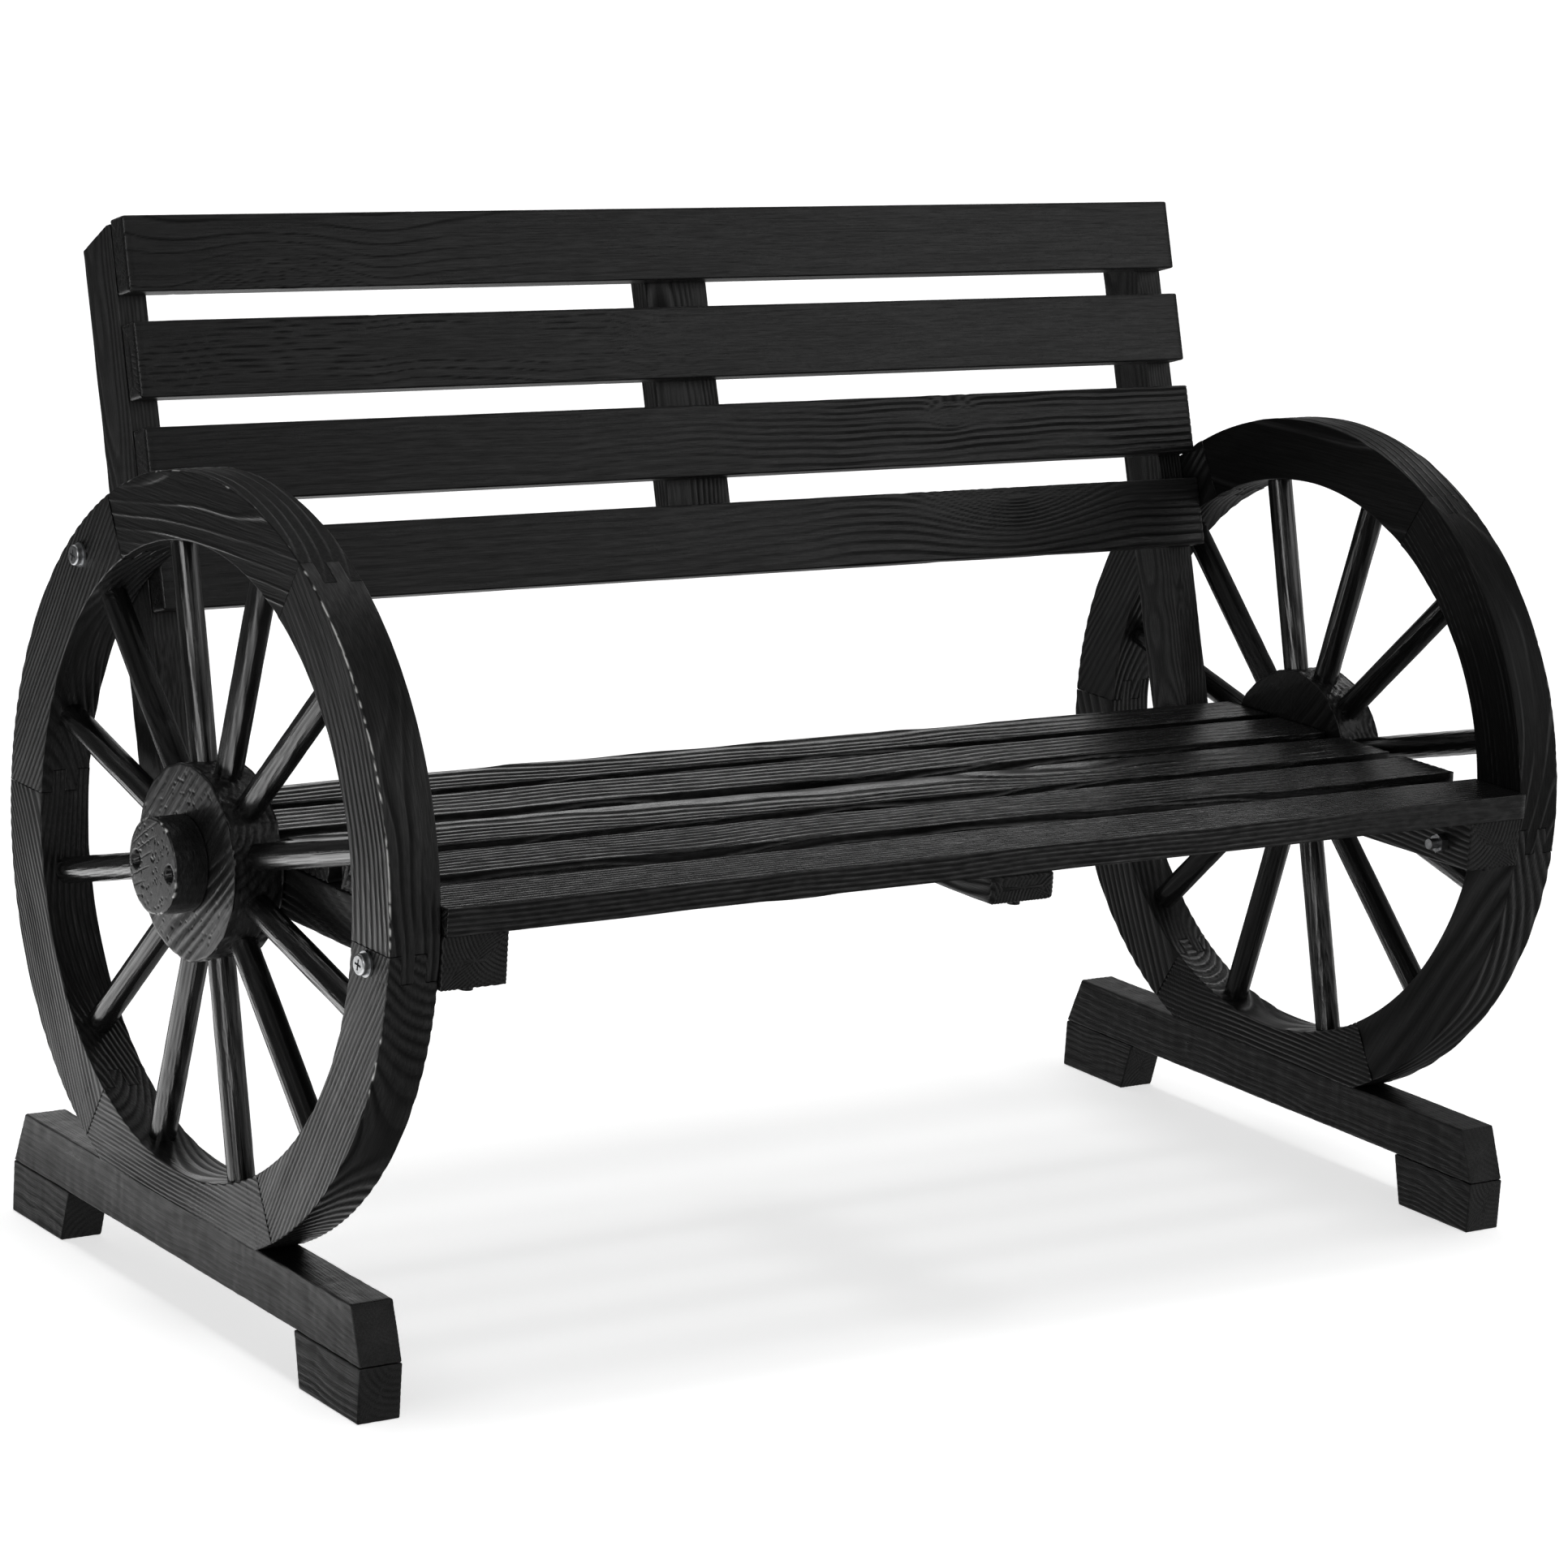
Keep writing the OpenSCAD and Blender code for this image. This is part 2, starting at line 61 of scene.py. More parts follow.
# Sizes of the bench in millimetres, as the frame has them
WHEEL_R, RIM_W, RIM_T, RIM_INNER_X = 276.0, 50.0, 40.0, 487.0
HUB_R, HUB_T, HUB_X = 72.0, 40.0, 489.0
CAP_R, CAP_T, CAP_SCREW, CAP_SINK_R, CAP_SINK = 35.0, 26.0, 24.0, 6.0, 8.0
SPOKE_D, SPOKE_FROM, SPOKE_TO, SPOKES = 20.0, 57.0, 241.0, 12
FELLOES, FINGER_L, BANDS = 6, 20.0, 4
BASE_TOP, FOOT_H, BEAM_L, BEAM_BEVEL, FOOT_L, FOOT_SLANT = 81.0, 40.0, 516.0, 16.0, 90.0, 10.0
RECLINE = math.radians(17.3)
BACK_Y, SEAT_Z, SEAT_T = 85.0, 362.9, 20.0
BACK_SLAT_W, BACK_T, BACK_PITCH, BACK_TOP = 56.0, 20.0, 77.0, 398.0 / math.cos(RECLINE)
POST_W, POST_D, POST_LOW, POST_FLAT, POST_FALL = 24.0, 45.0, 3.0, 6.0, 12.0
BATTEN_W, BATTEN_T, BATTEN_IN = 58.0, 20.0, 8.0
HEAD_SINK_R, POST_SINK, BASE_SINK, FOOT_SCREWS, BEAM_SCREWS = 5.8, 18.0, 12.0, 22.0, 90.0
JOINT_GAP = 0.3

# Directions: across the bench, up the leaning back and out of its front
ACROSS = np.array([1.0, 0.0, 0.0])
BACK_UP = np.array([0.0, math.sin(RECLINE), math.cos(RECLINE)])
BACK_OUT = np.array([0.0, -math.cos(RECLINE), math.sin(RECLINE)])

# Points closer than MERGE are one point and edges shorter than SLIVER are none, in metres
MERGE, SLIVER = 2e-6, 1e-6
# Half the width of a sunk hole's rim, and the stretch round the hole with closer points, in mm
HOLE_RIM, HOLE_ROOM, HOLE_STEP = 0.35, 1.2, 0.8
# Least distance between stations, and how far the dark of a seam reaches, in mm
LEAST_STEP, SEAM_REACH = 0.12, 1.2
# A disc's grid: its innermost ring and its face's last one, as parts of the radius, and its lip in mm
DISC_EYE, DISC_FACE, DISC_LIP = 0.02, 0.965, 1.2
# Large odd numbers that scatter the cells of the noise: for its three axes, the seed and the result
SCATTER = (374761393, 668265263, 1440662683, 1274126177, 1103515245)


def smooth(low: float, high: float, x: Array) -> Array:
    """A soft step: 0 below low, 1 above high, 3t^2 - 2t^3 between them."""
    t = np.clip((x - low) / (high - low), 0.0, 1.0)
    return t * t * (3.0 - 2.0 * t)


def value_noise(points: Array, size: Sequence[float], seed: int) -> Array:
    """Smooth random values on a lattice, blended over the eight corners of each cell.

    Args:
        points: N by 3 places in mm.
        size: the lattice's cell along each axis, in mm.
        seed: picks the pattern.

    Returns:
        One value from 0 to 1 for each place.
    """
    at = points / np.asarray(size, dtype=float)
    cell = np.floor(at).astype(np.int64)
    part = at - cell
    part = part * part * (3.0 - 2.0 * part)
    total = np.zeros(len(points))
    for corner in ((i, j, k) for i in (0, 1) for j in (0, 1) for k in (0, 1)):
        weight = np.prod(np.where(np.array(corner) == 1, part, 1.0 - part), axis=1)
        n = sum((cell[:, axis] + corner[axis]) * SCATTER[axis] for axis in range(3)) + seed * SCATTER[3]
        n = (n ^ (n >> 13)) * SCATTER[4]
        n = n ^ (n >> 16)
        total += weight * ((n & 0xFFFF) / 65535.0)
    return total


def grid_quads(rows: int, count: int) -> Array:
    """Faces between rows of points, each row a closed ring of count points."""
    i = np.arange(rows - 1)[:, None] * count
    j = np.arange(count)[None, :]
    k = (j + 1) % count
    return np.stack([i + j, i + k, i + count + k, i + count + j], axis=2).reshape(-1, 4)

# Wavelengths of the grain's wander along a board, in mm
WAVES = (640.0, 330.0, 170.0, 90.0)


class Profile(Enum):
    """How a growth ring's height goes from one ring to the next: where its rise begins and
    ends and where its fall begins and ends, as parts of the ring."""

    BRUSHED = (0.1, 0.62, 0.84, 1.0)
    GROOVED = (0.0, 0.1, 0.9, 1.0)
    WORN = (0.0, 0.25, 0.75, 1.0)
    SOFT = (0.0, 0.5, 0.55, 1.0)
    LINED = (0.76, 0.88, 0.92, 1.0)


@dataclass(frozen=True)
class Wood:
    """How the growth rings cross a board, in mm in the board's own frame.

    Attributes:
        pith: place of the log's centre across and deep, at the board's middle.
        drift: how far the centre moves across and deep per mm of length.
        ring: distance between growth rings.
        cut: how deep the soft wood between the rings is brushed out.
        wander: how far the grain strays from straight.
        knots: (across, along, radius) of each knot that goes through the board.
        profile: the shape of each ring.
        fade: how much the grooves fade out here and there.
        seed: picks the pattern.
        ripple: how uneven the ridges are.
        sawn: how far saw marks across the board hide the rings.
        calm: places between which the grooves flatten.
        calm_axis: the axis that calm is measured on, 0 for across and 2 for along.
        follow: how far the rings follow a curved piece, from 0 for its chord to 1 for its curve.
    """

    pith: tuple[float, float] = (0.0, -60.0)
    drift: tuple[float, float] = (0.0, 0.02)
    ring: float = 2.0
    cut: float = 0.5
    wander: float = 3.0
    knots: tuple[tuple[float, float, float], ...] = ()
    profile: Profile = Profile.BRUSHED
    fade: float = 0.3
    seed: int = 1
    ripple: float = 0.14
    sawn: float = 0.0
    calm: tuple[float, float] = (1e4, 2e4)
    calm_axis: int = 2
    follow: float = 0.0

    def ridge(self, local: Array) -> Array:
        """Height of the late wood at each place, 0 in the grooves and 1 on the ridges.

        The distance from the log's centre line, bent by slow sines and noise and
        pushed aside round the knots, is divided by the ring width. Each ring rises
        slowly and falls fast.

        Args:
            local: N by 3 places across, deep and along.

        Returns:
            N heights from 0 to 1.
        """
        rng = np.random.default_rng(self.seed)
        across, deep, along = local[:, 0], local[:, 1], local[:, 2]
        bend = [np.zeros(len(local)), np.zeros(len(local))]
        for wave in WAVES:
            for axis in (0, 1):
                turn = rng.uniform(0.0, 2.0 * math.pi)
                length = wave * rng.uniform(0.8, 1.25)
                bend[axis] += self.wander * wave / WAVES[0] * np.sin(2.0 * math.pi * along / length + turn)
        rough = value_noise(local, (14.0, 14.0, 75.0), self.seed + 7) - 0.5
        u = across - self.pith[0] - self.drift[0] * along - bend[0]
        v = deep - self.pith[1] - self.drift[1] * along - bend[1]
        away = np.hypot(u, v) + self.wander * 0.6 * rough
        away += 1.6 * self.ring * np.sin(away / (7.3 * self.ring) + rng.uniform(0.0, 6.0))
        phase = away / self.ring
        for knot_across, knot_along, radius in self.knots:
            off = np.hypot(across - knot_across, (along - knot_along) * 0.75)
            phase += 2.4 * radius / self.ring * np.exp(-((off / (1.7 * radius)) ** 2))
            inside = smooth(1.1 * radius, 0.8 * radius, off)
            phase = phase * (1.0 - inside) + inside * off / (0.28 * radius)
        part = phase - np.floor(phase)
        rise, top, fall, end = self.profile.value
        height = smooth(rise, top, part) * (1.0 - smooth(fall, end, part))
        faded = self.fade * smooth(0.35, 0.75, value_noise(local, (11.0, 11.0, 90.0), self.seed + 11))
        faded = np.maximum(faded, 0.8 * smooth(*self.calm, local[:, self.calm_axis]))
        height += ((0.1 if self.profile is Profile.LINED else 0.8) - height) * faded
        chatter = value_noise(local, (1.6, 1.6, 12.0), self.seed + 13)
        height *= 1.0 - self.ripple * (1.0 - chatter)
        marks = 0.6 * value_noise(local, (16.0, 16.0, 5.0), self.seed + 17) \
            + 0.4 * value_noise(local, (5.0, 5.0, 4.0), self.seed + 18)
        return np.clip(height + (0.35 + 0.65 * marks - height) * self.sawn, 0.0, 1.0)


@dataclass(frozen=True)
class Section:
    """The closed outline of a board, in mm.

    Attributes:
        points: N by 2 places across and deep.
        normals: N by 2 outward directions.
        half: half the width and half the depth.
    """

    points: Array
    normals: Array
    half: tuple[float, float]

    @staticmethod
    def rectangle(width: float, depth: float, radius: float, face: float, back: float, side: float,
                  breaks: Sequence[float] = ()) -> "Section":
        """A rectangle with round corners, the same on both sides of across = 0.

        Half of it runs from the middle of the face (deep = +depth / 2) over the
        side to the middle of the back, and the other half is its mirror image.

        Args:
            width: size across.
            depth: size deep.
            radius: radius of the corners.
            face: spacing of the points on the face.
            back: spacing of the points on the back.
            side: spacing of the points on the sides.
            breaks: places deep at which the sides carry two points close together.

        Returns:
            The outline, in order.
        """
        a, d = width / 2.0, depth / 2.0
        flat_a, flat_d = a - radius, d - radius
        top = np.linspace(0.0, flat_a, max(2, round(flat_a / face)), endpoint=False)
        low = np.linspace(flat_a, 0.0, max(2, round(flat_a / back)), endpoint=False)[1:]
        edge = np.linspace(flat_d, -flat_d, max(2, round(2.0 * flat_d / side)) + 1)
        for cut in breaks:
            edge = np.sort(np.append(edge[np.abs(edge - cut) > side / 2.0], [cut - 0.01, cut + 0.01]))[::-1]
        turn = np.linspace(0.0, math.pi / 2.0, 5)
        arc = np.stack([np.sin(turn), np.cos(turn)], axis=1)
        half = [
            np.stack([top, np.full_like(top, d)], axis=1),
            arc[:-1] * radius + (flat_a, flat_d),
            np.stack([np.full_like(edge, a), edge], axis=1),
            (arc[::-1] * (1.0, -1.0))[1:] * radius + (flat_a, -flat_d),
            np.stack([low, np.full_like(low, -d)], axis=1),
        ]
        out = [
            np.tile((0.0, 1.0), (len(top), 1)), arc[:-1], np.tile((1.0, 0.0), (len(edge), 1)),
            (arc[::-1] * (1.0, -1.0))[1:], np.tile((0.0, -1.0), (len(low), 1)),
        ]
        right, right_out = np.concatenate(half), np.concatenate(out)
        middle, middle_out = np.array([[0.0, -d]]), np.array([[0.0, -1.0]])
        left, left_out = right[:0:-1] * (-1.0, 1.0), right_out[:0:-1] * (-1.0, 1.0)
        return Section(np.concatenate([right, middle, left]),
                       np.concatenate([right_out, middle_out, left_out]), (a, d))

    @staticmethod
    def circle(diameter: float, count: int) -> "Section":
        """A circle of the given diameter with count points."""
        turn = np.arange(count) * 2.0 * math.pi / count
        out = np.stack([np.sin(turn), np.cos(turn)], axis=1)
        return Section(out * diameter / 2.0, out, (diameter / 2.0, diameter / 2.0))


Holes = tuple[tuple[float, float, float, float], ...]
Ends = Callable[[Array, Array], Array]
Place = Callable[[Array], Array]


@dataclass
class Shell:
    """A closed surface before it becomes a mesh.

    Attributes:
        local: N by 3 places across, deep and along before the relief, in mm.
        world: N by 3 places in the frame, in mm.
        quads: faces with four corners.
        tris: faces with three corners.
        relief: height of the wood's ridges, 0 to 1.
        wear: how far the paint has chipped off, 0 to 1.
        seam_dark: how dark a seam is, 0 to 1.
    """

    local: Array
    world: Array
    quads: Array
    tris: Array
    relief: Array
    wear: Array
    seam_dark: Array

    @staticmethod
    def joined(shells: Sequence["Shell"]) -> "Shell":
        """Puts several shells into one."""
        starts = np.cumsum([0] + [len(s.local) for s in shells[:-1]])
        moved = [replace(s, quads=s.quads + n, tris=s.tris + n) for s, n in zip(shells, starts)]
        return Shell(*[np.concatenate([getattr(s, part.name) for s in moved]) for part in fields(Shell)])


@dataclass(frozen=True)
class Board:
    """A length of timber: an outline swept along a straight or curved path.

    Attributes:
        section: its outline.
        low: where it begins, for each place across and deep.
        high: where it ends.
        place: turns places across, deep and along into places in the frame.
        wood: its growth rings.
        step: spacing of the points along it.
        grain: turns those places into the places at which the rings are read.
        edge: rounding at the ends.
        chips: how much paint has chipped off the corner at (across, deep) = (+, -).
        stepped: whether the ends are fingers, which close from side to side and have dark seams.
        dents: (across, along, radius, depth) of round holes sunk into the back.
    """

    section: Section
    low: Ends
    high: Ends
    place: Place
    wood: Wood
    step: float = 6.0
    grain: Place = lambda p: p
    edge: float = 1.0
    chips: float = 0.0
    stepped: bool = False
    dents: Holes = ()

    def stations(self, low: Array, high: Array) -> Array:
        """Places along that carry the outline: evenly spaced, closer at the ends and the dents.

        Args:
            low: where the board begins at each point of the outline.
            high: where it ends.

        Returns:
            The places, in order.
        """
        near = np.array([0.0, 0.3, 0.7]) * self.edge
        first, last = low.min(), high.max()
        stops = [first + near, last - near, np.arange(first + self.edge, last - self.edge, self.step)]
        if self.stepped or np.ptp(low) + np.ptp(high) > 0.01:
            stops += [low + near[:, None], high - near[:, None]]
        stops += [at + np.arange(-radius - HOLE_ROOM, radius + HOLE_ROOM + 0.1, HOLE_STEP)
                  for _, at, radius, _ in self.dents]
        places = np.unique(np.round(np.concatenate([np.ravel(stop) for stop in stops]), 2))
        places = np.clip(places, first, last)
        places = places[np.concatenate([[True], np.diff(places) > LEAST_STEP])]
        places[-1] = last
        return places

    def close_stepped(self, rows: int, quads: list[Array], tris: list[Array]) -> None:
        """Closes stepped ends with strips from side to side.

        The points on the face lie in one line, and so do those on the back, so a fan
        from the next point closes each of them.

        Args:
            rows: number of stations.
            quads: faces with four corners, added to.
            tris: faces with three corners, added to.
        """
        count, middle = len(self.section.points), len(self.section.points) // 2
        level = np.isclose(np.abs(self.section.points[:, 1]), self.section.half[1])
        start, stop = int(np.argmin(level[:middle])), middle - int(np.argmin(level[middle:]))
        m = np.arange(start, stop)
        for base, way in ((0, 1), ((rows - 1) * count, -1)):
            strip = np.stack([m, count - m, count - m - 1, m + 1], axis=1) + base
            quads.append(strip[:, ::way])
            for rim in (np.arange(start, -start - 1, -1) % count, np.arange(count - stop, stop - 1, -1)):
                fan = np.stack([np.full(len(rim) - 2, rim[0]), rim[1:-1], rim[2:]], axis=1) + base
                tris.append(fan[:, ::way])

    def close_square(self, rows: int, quads: list[Array], tris: list[Array], places: list[Array],
                     pushes: list[Array]) -> None:
        """Closes other ends with rings of points that shrink to the middle.

        Args:
            rows: number of stations.
            quads: faces with four corners, added to.
            tris: faces with three corners, added to.
            places: places across, deep and along, added to.
            pushes: outward directions, added to.
        """
        a, d = self.section.points.T
        out, half, count = self.section.normals, self.section.half, len(a)
        total = rows * count
        loops = max(2, int(min(half) / 1.7))
        for base, ends, way in ((0, self.low, -1), ((rows - 1) * count, self.high, 1)):
            previous = base + np.arange(count)
            for n in range(1, loops):
                scale = [1.0 - min(half) * (n / loops) / h for h in half]
                la, ld = (a - out[:, 0] * self.edge) * scale[0], (d - out[:, 1] * self.edge) * scale[1]
                places.append(np.stack([la, ld, ends(la, ld)], axis=1))
                pushes.append(np.tile((0.0, 0.0, float(way)), (count, 1)))
                current = total + np.arange(count)
                strip = np.stack([previous, current, np.roll(current, -1), np.roll(previous, -1)], axis=1)
                quads.append(strip[:, ::-way])
                previous, total = current, total + count
            zero = np.zeros(1)
            places.append(np.stack([zero, zero, ends(zero, zero)], axis=1))
            pushes.append(np.array([[0.0, 0.0, float(way)]]))
            fan = np.stack([previous, np.full(count, total), np.roll(previous, -1)], axis=1)
            tris.append(fan[:, ::-way])
            total += 1

    def shell(self) -> Shell:
        """Sweeps the outline and carves the rings into it.

        Each point of the outline is repeated at every station along the board,
        and its place along is held between the two ends at that point, so that
        slanting and stepped ends close exactly. The relief only goes inwards.

        Returns:
            The closed surface.
        """
        out, count = self.section.normals, len(self.section.points)
        a, d = self.section.points.T
        low, high = self.low(a, d), self.high(a, d)
        stations = self.stations(low, high)
        rows = len(stations)
        along = np.clip(stations[:, None], low[None, :], high[None, :])
        inset = np.zeros_like(along)
        if not self.stepped:
            gap = np.clip(np.minimum(along - low, high - along) / self.edge, 0, 1)
            inset = self.edge * (1.0 - np.sqrt(np.clip(1.0 - (1.0 - gap) ** 2, 0, 1)))
        ring = np.stack([np.tile(a, (rows, 1)) - out[:, 0] * inset,
                         np.tile(d, (rows, 1)) - out[:, 1] * inset, along], axis=2).reshape(-1, 3)
        push = np.stack([np.tile(out[:, 0], (rows, 1)), np.tile(out[:, 1], (rows, 1)),
                         np.zeros((rows, count))], axis=2).reshape(-1, 3)
        quads, tris = [grid_quads(rows, count)], [np.zeros((0, 3), dtype=int)]
        places, pushes = [ring], [push]
        if self.stepped:
            self.close_stepped(rows, quads, tris)
        else:
            push[:, 2] = (np.isclose(along, high) * 1.0 - np.isclose(along, low) * 1.0).ravel()
            self.close_square(rows, quads, tris, places, pushes)
        local, pushes = np.concatenate(places), np.concatenate(pushes)
        ring_at = self.grain(local)
        relief = self.wood.ridge(ring_at)
        seam_dark = wear = np.zeros(len(local))
        if self.stepped:
            # The paint turns black towards each finger's end, so every joint of the rim shows a dark seam
            from_end = np.minimum(local[:, 2] - self.low(local[:, 0], local[:, 1]),
                                  self.high(local[:, 0], local[:, 1]) - local[:, 2])
            seam_dark = np.exp(-from_end / SEAM_REACH)
        if self.chips:
            corner = np.hypot(local[:, 0] - self.section.half[0], local[:, 1] + self.section.half[1])
            spots = 0.65 * value_noise(ring_at, (3.0, 3.0, 3.5), self.wood.seed + 21) \
                + 0.35 * value_noise(ring_at, (9.0, 9.0, 30.0), self.wood.seed + 22)
            least = 0.95 - 0.6 * self.chips
            wear = np.exp(-((corner / 0.85) ** 2)) * smooth(least, least + 0.1, spots)
        carved = local - pushes * (self.wood.cut * (1.0 - relief) + 0.8 * wear)[:, None]
        for across, at, radius, depth in self.dents:
            off = np.hypot(local[:, 0] - across, local[:, 2] - at)
            hole = smooth(radius + HOLE_RIM, radius - HOLE_RIM, off) * (pushes[:, 1] < -0.99)
            carved[:, 1] += hole * depth
        return Shell(ring_at, self.place(carved), np.concatenate(quads), np.concatenate(tris),
                     relief, wear, seam_dark)


def straight(origin: Sequence[float], across: Sequence[float], deep: Sequence[float],
             along: Sequence[float]) -> Place:
    """Places a straight board: its middle at origin and its axes along the given directions."""
    axes = np.array([across, deep, along], dtype=float)
    return lambda p: np.asarray(origin, dtype=float) + p @ axes


def flat(value: float) -> Ends:
    """A square end at the given place along."""
    return lambda a, d: np.full(np.shape(a), float(value))


def build_mesh(name: str, shell: Shell, material: bpy.types.Material) -> bpy.types.Object:
    """Makes a closed mesh in metres with its wood attributes, faces outwards.

    Args:
        name: the object's name.
        shell: the surface.
        material: its only material.

    Returns:
        The object, at the origin.
    """
    mesh = bpy.data.meshes.new(name)
    count, n_quads, n_tris = len(shell.world), len(shell.quads), len(shell.tris)
    mesh.vertices.add(count)
    mesh.vertices.foreach_set("co", (shell.world * MM).astype(np.float32).ravel())
    mesh.loops.add(4 * n_quads + 3 * n_tris)
    corners = np.concatenate([shell.quads.ravel(), shell.tris.ravel()])
    mesh.loops.foreach_set("vertex_index", corners.astype(np.int32))
    mesh.polygons.add(n_quads + n_tris)
    starts = np.concatenate([np.arange(n_quads) * 4, 4 * n_quads + np.arange(n_tris) * 3])
    mesh.polygons.foreach_set("loop_start", starts.astype(np.int32))
    mesh.polygons.foreach_set("use_smooth", np.ones(n_quads + n_tris, dtype=bool))
    mesh.update(calc_edges=True)
    for label, values in (("relief", shell.relief), ("wear", shell.wear), ("seam_dark", shell.seam_dark)):
        mesh.attributes.new(label, "FLOAT", "POINT").data.foreach_set("value", values.astype(np.float32))
    mesh.attributes.new("grain", "FLOAT_VECTOR", "POINT").data.foreach_set(
        "vector", (shell.local * MM).astype(np.float32).ravel())
    work = bmesh.new()
    work.from_mesh(mesh)
    bmesh.ops.remove_doubles(work, verts=work.verts, dist=MERGE)
    bmesh.ops.dissolve_degenerate(work, edges=work.edges, dist=SLIVER)
    if work.calc_volume(signed=True) < 0.0:
        bmesh.ops.reverse_faces(work, faces=work.faces)
    open_edges = sum(1 for e in work.edges if not e.is_manifold)
    work.to_mesh(mesh)
    work.free()
    mesh.materials.append(material)
    thing = bpy.data.objects.new(name, mesh)
    bpy.context.scene.collection.objects.link(thing)
    LOG.info("%s: %d faces, %d open edges", name, len(mesh.polygons), open_edges)
    return thing


def linear(code: str) -> tuple[float, float, float, float]:
    """Turns an sRGB hex colour into linear RGBA."""
    values = [int(code[i:i + 2], 16) / 255.0 for i in (1, 3, 5)]
    return (*[v / 12.92 if v <= 0.04045 else ((v + 0.055) / 1.055) ** 2.4 for v in values], 1.0)


class Nodes:
    """A small builder of node trees."""

    def __init__(self, tree: bpy.types.NodeTree) -> None:
        self.tree = tree
        tree.nodes.clear()

    def add(self, kind: str, settings: dict | None = None, **inputs: object) -> bpy.types.Node:
        """Adds a node, sets its properties and fills or links its inputs.

        Args:
            kind: the node's type name.
            settings: properties of the node.
            inputs: socket name with _ for a space, or i0, i1 for a socket's number; each takes a
                value or another node's output.

        Returns:
            The node.
        """
        node = self.tree.nodes.new(kind)
        for key, value in (settings or {}).items():
            setattr(node, key, value)
        for key, value in inputs.items():
            by_number = key[0] == "i" and key[1:].isdigit()
            socket = node.inputs[int(key[1:]) if by_number else key.replace("_", " ")]
            if isinstance(value, bpy.types.NodeSocket):
                self.tree.links.new(value, socket)
            else:
                socket.default_value = value
        return node

    def math(self, operation: str, a: object, b: object = 0.5) -> bpy.types.NodeSocket:
        """One step of arithmetic."""
        return self.add("ShaderNodeMath", {"operation": operation}, i0=a, i1=b).outputs[0]

    def span(self, value: object, low: float, high: float, to_low: float,
             to_high: float) -> bpy.types.NodeSocket:
        """Maps a range of values to another one, held at its ends."""
        return self.add("ShaderNodeMapRange", None, Value=value, From_Min=low, From_Max=high,
                        To_Min=to_low, To_Max=to_high).outputs[0]

    def blend(self, factor: object, a: object, b: object) -> bpy.types.NodeSocket:
        """Blends two colours."""
        return self.add("ShaderNodeMix", {"data_type": "RGBA"}, i0=factor, i6=a, i7=b).outputs[2]

    def noise(self, at: object, cells: Sequence[float], detail: float,
              rough: float = 0.5) -> bpy.types.NodeSocket:
        """Noise with the given number of cells per metre along each axis."""
        scaled = self.add("ShaderNodeMapping", None, Vector=at, Scale=cells).outputs[0]
        return self.add("ShaderNodeTexNoise", None, Vector=scaled, Scale=1.0, Detail=detail,
                        Roughness=rough).outputs[0]

    def surface(self, height: object | None = None, **inputs: object) -> None:
        """Ends a material with its surface, raised by a height in metres."""
        if height is not None:
            inputs["Normal"] = self.add("ShaderNodeBump", None, Strength=1.0, Distance=1.0,
                                        Height=height).outputs[0]
        shader = self.add("ShaderNodeBsdfPrincipled", None, **inputs)
        self.add("ShaderNodeOutputMaterial", None, Surface=shader.outputs[0])


def new_material(name: str) -> tuple[bpy.types.Material, Nodes]:
    """A material and its empty node tree."""
    material = bpy.data.materials.new(name)
    material.use_nodes = True
    return material, Nodes(material.node_tree)


@dataclass(frozen=True)
class PaintFinish:
    """A finish of painted, brushed wood.

    Attributes:
        name: the material's name.
        slot: the name of the piece's slot; not used.
        groove: colour in the brushed-out grooves.
        ridge: colour on the ridges.
        rub: colour where the paint is rubbed thin.
        rough_groove: roughness in the grooves.
        rough_ridge: roughness on the ridges.
        fibre: size of the fine fibres across the grain, in metres.
        bump: height of the fine fibres, in metres.
        sheen: strength of the reflections.
        ripple: height of the short ripples that brushing left, in metres.
    """

    name: str
    slot: str
    groove: str
    ridge: str
    rub: str
    rough_groove: float
    rough_ridge: float
    fibre: float = 0.0008
    bump: float = 0.00025
    sheen: float = 0.5
    ripple: float = 0.0


@dataclass(frozen=True)
class SteelFinish:
    """A finish of steel with a cloudy coat, plated or blackened."""

    name: str
    colour: str
    rub: str
    rough: float


# Wheel rims and hubs: black paint on brushed softwood, thin and greyer on the ridges
WHEEL = PaintFinish("painted_softwood_wheel", "wheel_wood", "#050505", "#111111", "#2a2a2a",
                    0.5, 0.31, fibre=0.0014, bump=0.0003, sheen=0.42)
# Seat: the same paint on wood brushed harder, so the grooves stay dull and the rippled ridges shine
SEAT = PaintFinish("painted_softwood_seat", "slat_wood", "#030303", "#131313", "#262626",
                   0.55, 0.2, ripple=0.0003)
# Back: planed boards, so the paint lies smooth with faint dark lines
BACK = PaintFinish("painted_softwood_back", "slat_wood", "#040404", "#121212", "#242424",
                   0.5, 0.27, sheen=0.32)
# Beams, feet, bearers and posts: sawn faces under the paint
FRAME = PaintFinish("painted_softwood_frame", "frame_wood", "#060606", "#131313", "#262626",
                    0.55, 0.33, bump=0.00035, sheen=0.4)
# Spokes: turned dowels, so the paint lies smooth and glossy
SPOKE = PaintFinish("glossy_painted_dowel", "spoke_wood", "#060606", "#0d0d0d", "#181818",
                    0.26, 0.17, fibre=0.0014, bump=0.0002, sheen=0.85)
# Rim bolts, washers and nuts: bright zinc plate with faint handling marks
STEEL = SteelFinish("zinc_plated_steel", "#a4a5a6", "#76777a", 0.33)
# Wood screws: blackened steel, dull with a few glints
BLACK_STEEL = SteelFinish("blackened_steel", "#2b2b2c", "#454546", 0.36)
# Pale wood where the paint has chipped off, and the black of the fingers' seams
BARE_WOOD, SEAM = "#e4e4e2", "#030303"
# Height of the scratches in the steel's coat, in metres
SCRATCH_H = 0.00004


